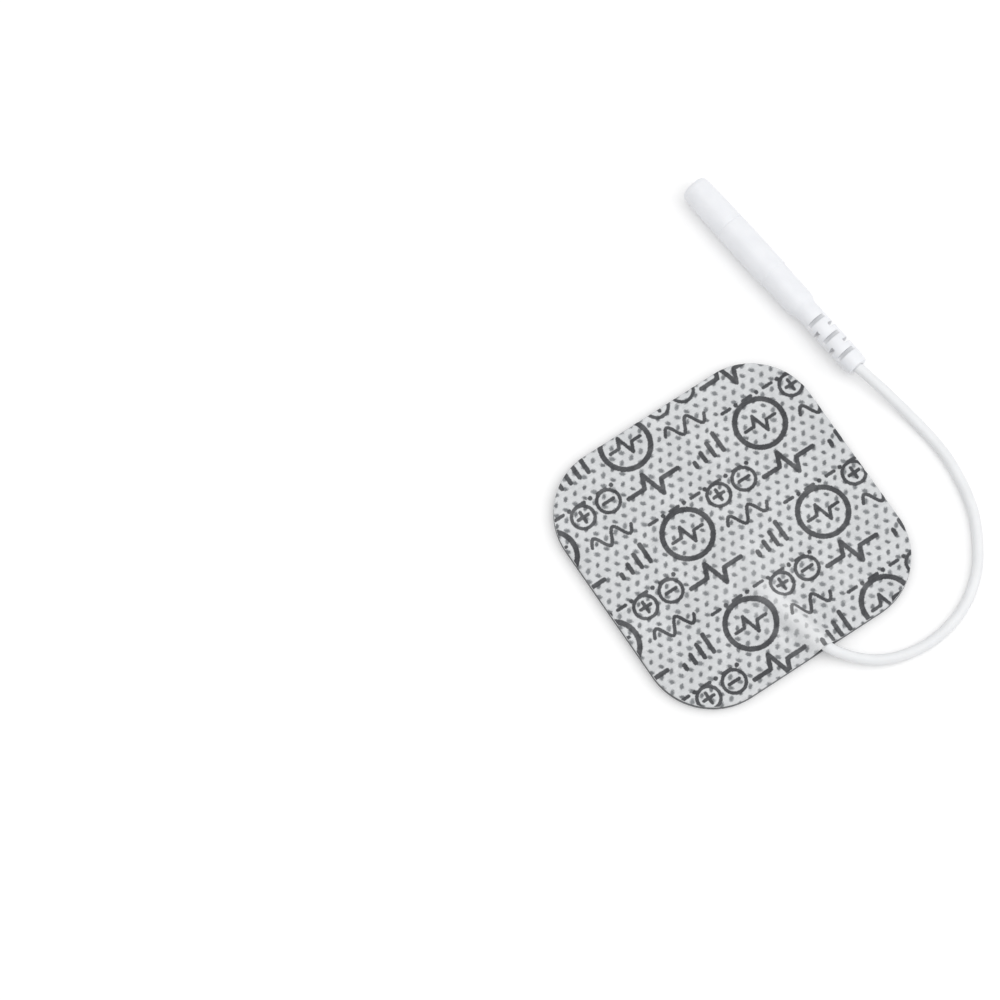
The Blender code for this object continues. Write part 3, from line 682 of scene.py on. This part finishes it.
def stroke_distance(x, y, start, end):
    """Distance from points to a straight stroke's middle line."""
    run_x, run_y = end[0] - start[0], end[1] - start[1]
    length = run_x**2 + run_y**2
    share = ((x - start[0]) * run_x + (y - start[1]) * run_y) / max(length, 1e-9)
    share = np.clip(share, 0.0, 1.0)
    return np.hypot(x - start[0] - run_x * share, y - start[1] - run_y * share)


def fold_relief(x, y):
    """Height of the soft folds and slow waves in the cloth, in millimetres from millimetres."""
    height = np.zeros_like(x)
    for start, end, tall, half in LIFTING_LIT_FOLDS + FLAT_FOLDS:
        height += tall * np.exp(-((stroke_distance(x, y, start, end) / half) ** 2))
    for along_x, along_y, phase, tall in CLOTH_WAVES:
        height += tall * np.sin(along_x * x + along_y * y + phase)
    return height


def print_signs():
    """Signs of one print cell as strokes and rings: each has its half width last."""
    pulse = ((0.6, 3.6), (3.2, 3.6), (4.0, 5.5), (5.1, 1.7), (5.9, 3.6), (8.6, 3.6))
    inner = ((2.1, 10.2), (3.5, 10.2), (4.1, 11.6), (4.9, 8.8), (5.5, 10.2), (6.9, 10.2))
    wave = [
        (9.7 + step * 0.26, 8.1 + 1.05 * math.sin(step * math.pi / 6)) for step in range(25)
    ]
    strokes = []
    for line, half in ((pulse, BOLD_STROKE), (inner, FINE_STROKE), (wave, FINE_STROKE)):
        strokes += [(start, end, half) for start, end in zip(line, line[1:])]
    for bar in range(4):
        place = 10.9 + bar * 1.45
        strokes.append(((place, 2.3), (place, 2.9 + bar * 0.72), BOLD_STROKE))
    for dash in range(5):
        place = 0.9 + dash * 3.4
        strokes.append(((place, -0.9), (place + 1.3, -0.9), FINE_STROKE))
        strokes.append(((place + 2.25, -0.9), (place + 2.25, -0.9), BOLD_STROKE))
    strokes.append(((10.3, 12.4), (11.9, 12.4), FINE_STROKE))
    strokes.append(((11.1, 11.6), (11.1, 13.2), FINE_STROKE))
    strokes.append(((14.4, 12.4), (16.0, 12.4), FINE_STROKE))
    rings = [
        ((4.5, 10.2), 3.45, RING_STROKE),
        ((11.1, 12.4), 1.6, FINE_STROKE),
        ((15.2, 12.4), 1.6, FINE_STROKE),
    ]
    return strokes, rings


def ink_distance(x, y):
    """Signed distance to the print's edge in millimetres, below zero on the ink."""
    nearest = np.full_like(x, 9.0)
    strokes, rings = print_signs()
    for column in range(PRINT_COLUMNS):
        for row in range(PRINT_ROWS):
            left = PRINT_START[0] + column * PRINT_CELL_WIDTH
            low = PRINT_START[1] + row * PRINT_CELL_HEIGHT + (column % 2) * PRINT_CELL_HEIGHT / 2
            in_x, in_y = x - left, y - low
            for start, end, half in strokes:
                nearest = np.minimum(nearest, stroke_distance(in_x, in_y, start, end) - half)
            for centre, radius, half in rings:
                away = np.abs(np.hypot(in_x - centre[0], in_y - centre[1]) - radius)
                nearest = np.minimum(nearest, away - half)
    return nearest


def make_cloth(material):
    """Cloth: a fine top face with pressed bond points, a plainer underside and a cut edge."""
    shape = bmesh.new()
    top_level = Matrix.Translation((0.0, 0.0, 1.0))
    bmesh.ops.create_grid(
        shape, x_segments=CLOTH_GRID, y_segments=CLOTH_GRID, size=1.0, matrix=top_level
    )
    bmesh.ops.create_grid(shape, x_segments=CLOTH_UNDER_GRID, y_segments=CLOTH_UNDER_GRID, size=1.0)
    rims = [edge for edge in shape.edges if edge.is_boundary]
    bmesh.ops.bridge_loops(shape, edges=rims)
    bmesh.ops.triangulate(shape, faces=[face for face in shape.faces if len(face.verts) > 4])
    bmesh.ops.recalc_face_normals(shape, faces=shape.faces)
    mesh = bpy.data.meshes.new("printed_cloth")
    shape.to_mesh(mesh)
    shape.free()

    places = np.empty(len(mesh.vertices) * 3)
    mesh.vertices.foreach_get("co", places)
    places = places.reshape(-1, 3)
    u, v = places[:, 0].copy(), places[:, 1].copy()
    top = places[:, 2] > 0.5
    edge = np.maximum(np.abs(u), np.abs(v)) > 1.0 - 1e-6
    x, y = onto_pad(u, v)
    soft_x, soft_y = onto_pad(u, v, CLOTH_EDGE_INSET)
    x = np.where(top & edge, soft_x, x)
    y = np.where(top & edge, soft_y, y)
    step = CLOTH_SLOPE_STEP
    slope_x = (cloth_lift(x + step, y) - cloth_lift(x - step, y)) / (2 * step)
    slope_y = (cloth_lift(x, y + step) - cloth_lift(x, y - step)) / (2 * step)
    steep = np.sqrt(1.0 + slope_x**2 + slope_y**2)
    ridge, swell = ridge_share(x, y)
    relief = fold_relief(x / MM, y / MM) * MM
    from_edge = 1.0 - np.maximum(np.abs(u), np.abs(v))
    free = np.clip(from_edge / CLOTH_CALM_SHARE, 0.0, 1.0)
    pressed = bond_share(x, y) * (1.0 - RIDGE_BOND_FADE * ridge)
    upper = CLOTH_THICKNESS * steep + relief * free * (1.0 - ridge) - BOND_DEPTH * pressed
    upper -= np.where(edge, CLOTH_EDGE_DROP, 0.0)
    z = CLOTH_Z + cloth_lift(x, y) + np.where(top, upper, 0.0)
    mesh.vertices.foreach_set("co", np.stack([x, y, z], axis=1).ravel())

    # Share of lift and painted highlight: over the ridge and swell, along the first two folds and
    # round the exit
    lifted_and_lit = np.clip(ridge * RIDGE_LIFT_AND_LIGHT + swell * SWELL_LIFT_AND_LIGHT, 0.0, 1.0)
    for start, end, _, _ in LIFTING_LIT_FOLDS:
        away = stroke_distance(x / MM, y / MM, start, end)
        lifted_and_lit = np.maximum(lifted_and_lit, FOLD_LIFT_AND_LIGHT * np.exp(-((away / FOLD_LIFT_AND_LIGHT_REACH) ** 2)))
    from_exit = np.hypot(x - EXIT.x, y - EXIT.y) / MM
    lifted_and_lit = np.maximum(lifted_and_lit, EXIT_LIFT_AND_LIGHT * np.exp(-((from_exit / EXIT_LIFT_AND_LIGHT_REACH) ** 4)))
    mesh.attributes.new("lifted_and_lit", "FLOAT", "POINT").data.foreach_set("value", lifted_and_lit)
    ink = ink_distance(x / MM, y / MM)
    ink = np.where(top, ink, 9.0)
    mesh.attributes.new("ink_distance", "FLOAT", "POINT").data.foreach_set("value", ink)
    mesh.update()
    mesh.shade_smooth()
    mesh.set_sharp_from_angle(angle=math.radians(65.0))
    piece = add_piece("printed_cloth", mesh, material, "backing_cloth", "backing_cloth")
    return piece


def make_slab(name, levels):
    """Flat layer with the pad's outline, built up from rings given by inset and height."""
    shape = bmesh.new()
    bmesh.ops.create_circle(shape, cap_ends=True, segments=SLAB_SEGMENTS, radius=1.0)
    angles = np.arctan2([vert.co.y for vert in shape.verts], [vert.co.x for vert in shape.verts])
    square = np.maximum(np.abs(np.cos(angles)), np.abs(np.sin(angles)))
    u, v = np.cos(angles) / square, np.sin(angles) / square
    ring = list(shape.verts)
    edges = list(shape.edges)
    for number, (inset, height) in enumerate(levels):
        if number:
            made = bmesh.ops.extrude_edge_only(shape, edges=edges)["geom"]
            edges = [item for item in made if isinstance(item, bmesh.types.BMEdge)]
            new_verts = [item for item in made if isinstance(item, bmesh.types.BMVert)]
            at_place = {tuple(round(c, 9) for c in vert.co): vert for vert in new_verts}
            ring = [at_place[tuple(round(c, 9) for c in vert.co)] for vert in ring]
        x, y = onto_pad(u, v, inset)
        for vert, place_x, place_y in zip(ring, x, y):
            vert.co = (place_x, place_y, height)
    bmesh.ops.contextual_create(shape, geom=ring)
    bmesh.ops.recalc_face_normals(shape, faces=shape.faces)
    return mesh_from(shape, name, 50.0)


def make_gel(material):
    """Hydrogel layer with soft edges that bulge a little where the layers press it."""
    top = GEL_TOP_Z
    levels = (
        (0.16 * MM, 0.0),
        (0.06 * MM, 0.04 * MM),
        (0.0, 0.18 * MM),
        (-0.04 * MM, 0.45 * MM),
        (-0.03 * MM, 0.75 * MM),
        (0.03 * MM, top - 0.05 * MM),
        (0.10 * MM, top),
    )
    slab = make_slab("gel_cushion", levels)
    return add_piece("gel_cushion", slab, material, "gel_layer", "gel_layer")


def make_film(material):
    """Carbon film, cut by the same die as the cloth."""
    levels = (
        (0.02 * MM, FILM_BOTTOM_Z),
        (0.0, FILM_BOTTOM_Z + 0.03 * MM),
        (0.0, FILM_TOP_Z - 0.03 * MM),
        (0.02 * MM, FILM_TOP_Z),
    )
    slab = make_slab("carbon_film", levels)
    return add_piece("carbon_film", slab, material, "conductive_film", "conductive_film")


def lead_route():
    """Points that the lead passes through, from its inner end into the connector's collar."""
    held = [INNER_END.lerp(EXIT, share / 3) for share in range(4)]
    loose = [(x, y, LEAD_HELD_Z, share) for x, y, share in ROUTE_FALL]
    loose += [(x, y, LEAD_FLOOR_Z, 0.0) for x, y in ROUTE_FLOOR]
    loose += [(x, y, CONNECTOR_Z, share) for x, y, share in ROUTE_RISE]
    laid = [
        ROUTE_CORNER + Vector((x * MM, y * MM, LEAD_FLOOR_Z + (top - LEAD_FLOOR_Z) * share))
        for x, y, top, share in loose
    ]
    return held + laid + [COLLAR_END - CONNECTOR_AXIS * END_GAP]


def smooth_curve(points, pieces=16):
    """Reads a Catmull-Rom curve through the points, with straight ends."""
    padded = [points[0] * 2 - points[1], *points, points[-1] * 2 - points[-2]]
    curve = []
    for before, start, end, after in zip(padded, padded[1:], padded[2:], padded[3:]):
        for piece in range(pieces):
            t = piece / pieces
            square = (2 * before - 5 * start + 4 * end - after) * t**2
            cube = (3 * start - before - 3 * end + after) * t**3
            curve.append(0.5 * (2 * start + (end - before) * t + square + cube))
    return curve + [points[-1]]


def even_points(curve, step):
    """Picks points along a fine curve about one step apart, with both ends."""
    runs = [0.0]
    for start, end in zip(curve, curve[1:]):
        runs.append(runs[-1] + (end - start).length)
    count = max(2, round(runs[-1] / step))
    picked = [curve[0]]
    place = 0
    for number in range(1, count):
        wanted = runs[-1] * number / count
        while runs[place + 1] < wanted:
            place += 1
        share = (wanted - runs[place]) / (runs[place + 1] - runs[place])
        picked.append(curve[place].lerp(curve[place + 1], share))
    return picked + [curve[-1]]


def relaxed(points, rounds):
    """Evens out small kinks by moving each inner point towards its neighbours' middle."""
    for _ in range(rounds):
        middle = [
            point.lerp((before + after) / 2, 0.5)
            for before, point, after in zip(points, points[1:], points[2:])
        ]
        points = [points[0], *middle, points[-1]]
    return points


def make_lead(material):
    """Lead's jacket: one round tube from under the cloth into the collar."""
    points = relaxed(even_points(smooth_curve(lead_route()), LEAD_POINT_STEP), 30)
    points.append(COLLAR_END + CONNECTOR_AXIS * LEAD_SEAT_DEPTH)
    curve = bpy.data.curves.new("lead_jacket", "CURVE")
    curve.dimensions = "3D"
    curve.bevel_depth = LEAD_RADIUS
    curve.bevel_resolution = 6
    curve.use_fill_caps = True
    spline = curve.splines.new("POLY")
    spline.points.add(len(points) - 1)
    for place, point in zip(spline.points, points):
        place.co = (*point, 1.0)
    spline.use_smooth = True
    return add_piece("lead_jacket", curve, material, "lead_cord", "lead_cord")


def rounded_profile(corners, segments=4):
    """Half section from corners of radius, height and rounding, the last in millimetres."""
    points = []
    last = len(corners) - 1
    for number, (radius, height, rounding) in enumerate(corners):
        corner = Vector((radius, height))
        if number in (0, last) or rounding == 0.0:
            points.append(corner)
            continue
        before = Vector(corners[number - 1][:2]) - corner
        after = Vector(corners[number + 1][:2]) - corner
        reach = min(rounding * MM, before.length * 0.45, after.length * 0.45)
        start = corner + before.normalized() * reach
        end = corner + after.normalized() * reach
        for step in range(segments + 1):
            t = step / segments
            points.append(start * (1 - t) ** 2 + corner * 2 * t * (1 - t) + end * t**2)
    return points


def turned_shape(profile, steps):
    """Turns a half section round the Z axis into a closed body."""
    shape = bmesh.new()
    verts = [shape.verts.new((point[0], 0.0, point[1])) for point in profile]
    edges = [shape.edges.new(pair) for pair in zip(verts, verts[1:])]
    bmesh.ops.spin(
        shape,
        geom=verts + edges,
        cent=(0.0, 0.0, 0.0),
        axis=(0.0, 0.0, 1.0),
        angle=2 * math.pi,
        steps=steps,
        use_merge=True,
    )
    bmesh.ops.remove_doubles(shape, verts=shape.verts, dist=0.0005 * MM)
    bmesh.ops.recalc_face_normals(shape, faces=shape.faces)
    return shape


def connector_lay():
    """Place of the connector: its Z axis points from the collar to the tip."""
    upright = Vector((0.0, 0.0, 1.0))
    across = CONNECTOR_AXIS.cross(upright)
    turn = Matrix((upright, across, CONNECTOR_AXIS)).transposed().to_4x4()
    turn = turn @ Matrix.Rotation(-CONNECTOR_ROLL, 4, "Z")
    return Matrix.Translation(COLLAR_END) @ turn


def cut_mesh(shape, name, boxes, box_round, edge_round):
    """Cuts boxes out of a body, rounds the edges that the cuts leave and gives the mesh."""
    body = bpy.data.objects.new(name, bpy.data.meshes.new(name))
    shape.to_mesh(body.data)
    shape.free()
    tools = bmesh.new()
    for low, high in boxes:
        low, high = Vector(low), Vector(high)
        place = Matrix.Translation((low + high) / 2) @ Matrix.Diagonal((*(high - low), 1.0))
        bmesh.ops.create_cube(tools, size=1.0, matrix=place)
    if box_round > 0.0:
        bmesh.ops.bevel(
            tools,
            geom=tools.edges[:],
            offset=box_round,
            offset_type="OFFSET",
            affect="EDGES",
            segments=2,
            profile=0.5,
            material=-1,
        )
    cutter = bpy.data.objects.new(name + "_cutter", bpy.data.meshes.new(name + "_cutter"))
    tools.to_mesh(cutter.data)
    tools.free()
    for made in (body, cutter):
        bpy.context.scene.collection.objects.link(made)
    cut = body.modifiers.new("cut", "BOOLEAN")
    cut.operation = "DIFFERENCE"
    cut.solver = "EXACT"
    cut.object = cutter
    if edge_round > 0.0:
        weld = body.modifiers.new("weld", "WELD")
        weld.merge_threshold = 0.01 * MM
        soften = body.modifiers.new("soften", "BEVEL")
        soften.width = edge_round
        soften.segments = 2
        soften.limit_method = "ANGLE"
        soften.angle_limit = math.radians(50.0)
        soften.use_clamp_overlap = False
        soften.miter_outer = "MITER_SHARP"
    evaluated = body.evaluated_get(bpy.context.evaluated_depsgraph_get())
    mesh = bpy.data.meshes.new_from_object(evaluated)
    mesh.name = name
    bpy.data.objects.remove(body, do_unlink=True)
    bpy.data.objects.remove(cutter, do_unlink=True)
    return mesh


def relief_slots():
    """Boxes of the bend relief's slots, in opposed pairs that turn a quarter at each station."""
    reach = RELIEF_DIAMETER
    first = COLLAR_LENGTH + RELIEF_LENGTH - FIRST_SLOT_OFFSET
    boxes = []
    for slot in range(SLOT_COUNT):
        middle = first - slot * SLOT_PITCH
        low_z, high_z = middle - SLOT_WIDTH / 2, middle + SLOT_WIDTH / 2
        for near, far in ((SLOT_WEB / 2, reach), (-reach, -SLOT_WEB / 2)):
            if slot % 2 == 0:
                boxes.append(((near, -reach, low_z), (far, reach, high_z)))
            else:
                boxes.append(((-reach, near, low_z), (reach, far, high_z)))
    return boxes


def moulding_profile():
    """Half section of the moulding, from its inside at the axis to the collar's end."""
    top = HOUSING_LENGTH
    crimp_radius = CRIMP_DIAMETER / 2 + BOND_GAP
    tube_radius = CONTACT_DIAMETER / 2 + BOND_GAP
    mouth_radius = SOCKET_DIAMETER / 2 + MOUTH_CLEARANCE
    back = top - CONTACT_RECESS - CONTACT_TUBE_LENGTH - CRIMP_LENGTH - BOND_GAP
    seat = top - CONTACT_RECESS - CONTACT_TUBE_LENGTH - BOND_GAP
    front = top - CONTACT_RECESS + BOND_GAP
    tip_radius = TIP_DIAMETER / 2
    grip_radius = GRIP_DIAMETER / 2
    ring = top - NOSE_LENGTH
    step = ring - GRIP_LENGTH
    shoulder = step - BODY_LENGTH
    relief = shoulder - SHOULDER_LENGTH
    nose_radius = grip_radius - RING_STEP_DEPTH
    body_radius = grip_radius - STEP_DEPTH
    collar_radius = COLLAR_DIAMETER / 2
    hole_radius = LEAD_RADIUS + LEAD_HOLE_CLEARANCE
    corners = [
        (0.0, back, 0.0),
        (crimp_radius, back, 0.0),
        (crimp_radius, seat, 0.0),
        (tube_radius, seat, 0.0),
        (tube_radius, front, 0.0),
        (mouth_radius, front, 0.05),
        (mouth_radius, top - MOUTH_CHAMFER, 0.04),
        (mouth_radius + MOUTH_CHAMFER, top, 0.02),
    ]
    for part in range(TIP_EDGE_STEPS + 1):
        angle = math.pi / 2 * (1 - part / TIP_EDGE_STEPS)
        radius = tip_radius - TIP_EDGE_RADIUS * (1 - math.cos(angle))
        corners.append((radius, top - TIP_EDGE_RADIUS * (1 - math.sin(angle)), 0.0))
    nose_top = top - TIP_EDGE_RADIUS
    nose_bottom = ring + RING_GROOVE_WIDTH / 2
    for segment in range(1, NOSE_SEGMENTS + 1):
        share = segment / NOSE_SEGMENTS
        radius = tip_radius + (nose_radius - tip_radius) * math.sin(share * math.pi / 2)
        height = nose_top + (nose_bottom - nose_top) * share
        corners.append((radius, height, 0.06 if segment == NOSE_SEGMENTS else 0.3))
    corners += [
        (grip_radius - RING_GROOVE_DEPTH, ring, 0.08),
        (grip_radius, ring - RING_GROOVE_WIDTH / 2, 0.06),
        (grip_radius, step + STEP_DEPTH, 0.06),
        (body_radius, step, 0.08),
        (body_radius - BODY_TAPER, shoulder, 0.25),
        (RELIEF_DIAMETER / 2, relief, 0.12),
        (RELIEF_DIAMETER / 2, COLLAR_LENGTH, 0.3),
        (collar_radius, 0.0, 0.22),
        (hole_radius, 0.0, 0.06),
        (hole_radius, LEAD_SEAT_DEPTH, 0.0),
        (0.0, LEAD_SEAT_DEPTH, 0.0),
    ]
    return rounded_profile(corners)


def make_moulding(material):
    """Connector's moulding with its ring line, step, shoulder, slotted bend relief and collar."""
    shape = turned_shape(moulding_profile(), MOULDING_STEPS)
    for vert in shape.verts:
        radius = math.hypot(vert.co.x, vert.co.y)
        outer = radius > SOCKET_DIAMETER and vert.co.z > COLLAR_LENGTH + RELIEF_LENGTH
        if outer and abs(vert.co.x) < 0.02 * MM:
            vert.co.y *= 1.0 + SEAM_HEIGHT / radius
    mesh = cut_mesh(shape, "connector_moulding", relief_slots(), 0.08 * MM, SLOT_EDGE_ROUND)
    mesh.transform(connector_lay())
    mesh.shade_smooth()
    mesh.set_sharp_from_angle(angle=math.radians(40.0))
    return add_piece(
        "connector_moulding", mesh, material, "connector_housing", "connector_housing"
    )


def make_sleeve(material):
    """Contact sleeve with its lead-in, spring slit and crimped barrel."""
    top = HOUSING_LENGTH - CONTACT_RECESS
    bore = SOCKET_DIAMETER / 2
    tube = CONTACT_DIAMETER / 2
    barrel = CRIMP_DIAMETER / 2
    seat = top - CONTACT_TUBE_LENGTH
    back = seat - CRIMP_LENGTH
    pressed = barrel - 0.18 * MM
    corners = [
        (0.0, seat + CONTACT_FLOOR - 0.3 * MM, 0.0),
        (bore, seat + CONTACT_FLOOR, 0.05),
        (bore, top - 0.2 * MM, 0.08),
        (bore + 0.16 * MM, top, 0.05),
        (tube, top, 0.08),
        (tube, seat, 0.1),
        (barrel, seat, 0.05),
        (barrel, seat - CRIMP_LENGTH / 4, 0.1),
        (pressed, seat - CRIMP_LENGTH / 3, 0.1),
        (pressed, back + CRIMP_LENGTH / 3, 0.1),
        (barrel, back + CRIMP_LENGTH / 4, 0.1),
        (barrel, back, 0.05),
        (0.0, back, 0.0),
    ]
    shape = turned_shape(rounded_profile(corners), SLEEVE_STEPS)
    slit = [
        (
            (0.0, -SLIT_WIDTH / 2, top - SLIT_LENGTH),
            (CONTACT_DIAMETER, SLIT_WIDTH / 2, top + CONTACT_DIAMETER),
        )
    ]
    mesh = cut_mesh(shape, "contact_sleeve", slit, 0.0, 0.0)
    mesh.transform(connector_lay())
    mesh.shade_smooth()
    mesh.set_sharp_from_angle(angle=math.radians(35.0))
    return add_piece("contact_sleeve", mesh, material, "socket_contact", "socket_contact")


def set_camera():
    """Camera at the photograph's viewpoint."""
    back = Vector(
        (
            math.cos(CAMERA_ELEVATION) * math.sin(CAMERA_AZIMUTH),
            -math.cos(CAMERA_ELEVATION) * math.cos(CAMERA_AZIMUTH),
            math.sin(CAMERA_ELEVATION),
        )
    )
    data = bpy.data.cameras.new("camera")
    data.lens = CAMERA_LENS
    data.sensor_width = CAMERA_SENSOR
    data.clip_start = 0.01
    data.clip_end = 50.0
    camera = bpy.data.objects.new("camera", data)
    bpy.context.scene.collection.objects.link(camera)
    camera.location = CAMERA_TARGET + back * CAMERA_DISTANCE
    camera.rotation_mode = "QUATERNION"
    camera.rotation_quaternion = (-back).to_track_quat("-Z", "Y")
    bpy.context.scene.camera = camera


def seen_directly(tree):
    """Share that is 1 for rays from the camera, mirrors and glass."""
    path = tree.nodes.new("ShaderNodeLightPath")
    seen = calc(tree, "MAXIMUM", path.outputs["Is Camera Ray"], path.outputs["Is Glossy Ray"])
    return calc(tree, "MAXIMUM", seen, path.outputs["Is Transmission Ray"])


def make_floor():
    """Plain pale floor that looks white and keeps the object's shadow."""
    shape = bmesh.new()
    bmesh.ops.create_grid(shape, x_segments=1, y_segments=1, size=FLOOR_HALF)
    for vert in shape.verts:
        vert.co.z = -FLOOR_DROP
    mesh = bpy.data.meshes.new("floor")
    shape.to_mesh(mesh)
    shape.free()
    floor = bpy.data.objects.new("floor", mesh)
    bpy.context.scene.collection.objects.link(floor)
    material = bpy.data.materials.new("floor")
    material.use_nodes = True
    tree = material.node_tree
    shader = tree.nodes["Principled BSDF"]
    shader.inputs["Roughness"].default_value = 0.9
    shader.inputs["Specular IOR Level"].default_value = 0.0
    seen = seen_directly(tree)
    tree.links.new(mixed(tree, seen, FLOOR_BOUNCE, WHITE), shader.inputs["Base Color"])
    tree.links.new(mixed(tree, seen, BLACK, FLOOR_GLOW), shader.inputs["Emission Color"])
    shader.inputs["Emission Strength"].default_value = 1.0
    mesh.materials.append(material)


def add_lamp(name, towards, power):
    """Square soft lamp that shines at the object from a direction."""
    data = bpy.data.lights.new(name, "AREA")
    data.shape = "SQUARE"
    data.size = LAMP_SIZE
    data.energy = power
    lamp = bpy.data.objects.new(name, data)
    bpy.context.scene.collection.objects.link(lamp)
    direction = Vector(towards).normalized()
    lamp.location = direction * LAMP_DISTANCE
    lamp.rotation_mode = "QUATERNION"
    lamp.rotation_quaternion = (-direction).to_track_quat("-Z", "Y")


def light_scene():
    """Soft studio light: a pale world, a large lamp above and one low at the picture's right."""
    world = bpy.data.worlds.new("studio")
    bpy.context.scene.world = world
    world.use_nodes = True
    tree = world.node_tree
    background = tree.nodes["Background"]
    light = mixed(tree, seen_directly(tree), WORLD_LIGHT, WHITE)
    tree.links.new(light, background.inputs["Color"])
    background.inputs["Strength"].default_value = 1.0
    add_lamp("top", *TOP_LAMP)
    add_lamp("side", *SIDE_LAMP)
    bpy.context.scene.view_settings.view_transform = "Standard"


set_camera()
make_floor()
light_scene()

vinyl_group = make_vinyl_group()
fibre_group = make_fibre_group()
bond_group = make_bond_group()
lead_vinyl = vinyl_material("lead vinyl", vinyl_group, LEAD_TONES, 0.42, 5200.0)
moulding_vinyl = vinyl_material(
    "moulded vinyl", vinyl_group, MOULDING_TONES, 0.38, 4200.0, shade_slots=True
)
plated_metal = metal_material("plated contact", PLATED_TONES, (900.0, 6000.0, 6000.0), 0.28)
copper = metal_material("copper strands", COPPER_TONES, (6000.0, 700.0, 6000.0), 0.32)

lead_jacket = make_lead(lead_vinyl)
moulding = make_moulding(moulding_vinyl)
sleeve = make_sleeve(plated_metal)
make_gel(gel_material())
make_film(film_material())
make_cloth(cloth_material(bond_group, fibre_group))
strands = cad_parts["strand_fan"]
strands.data.materials.clear()
strands.data.materials.append(copper)
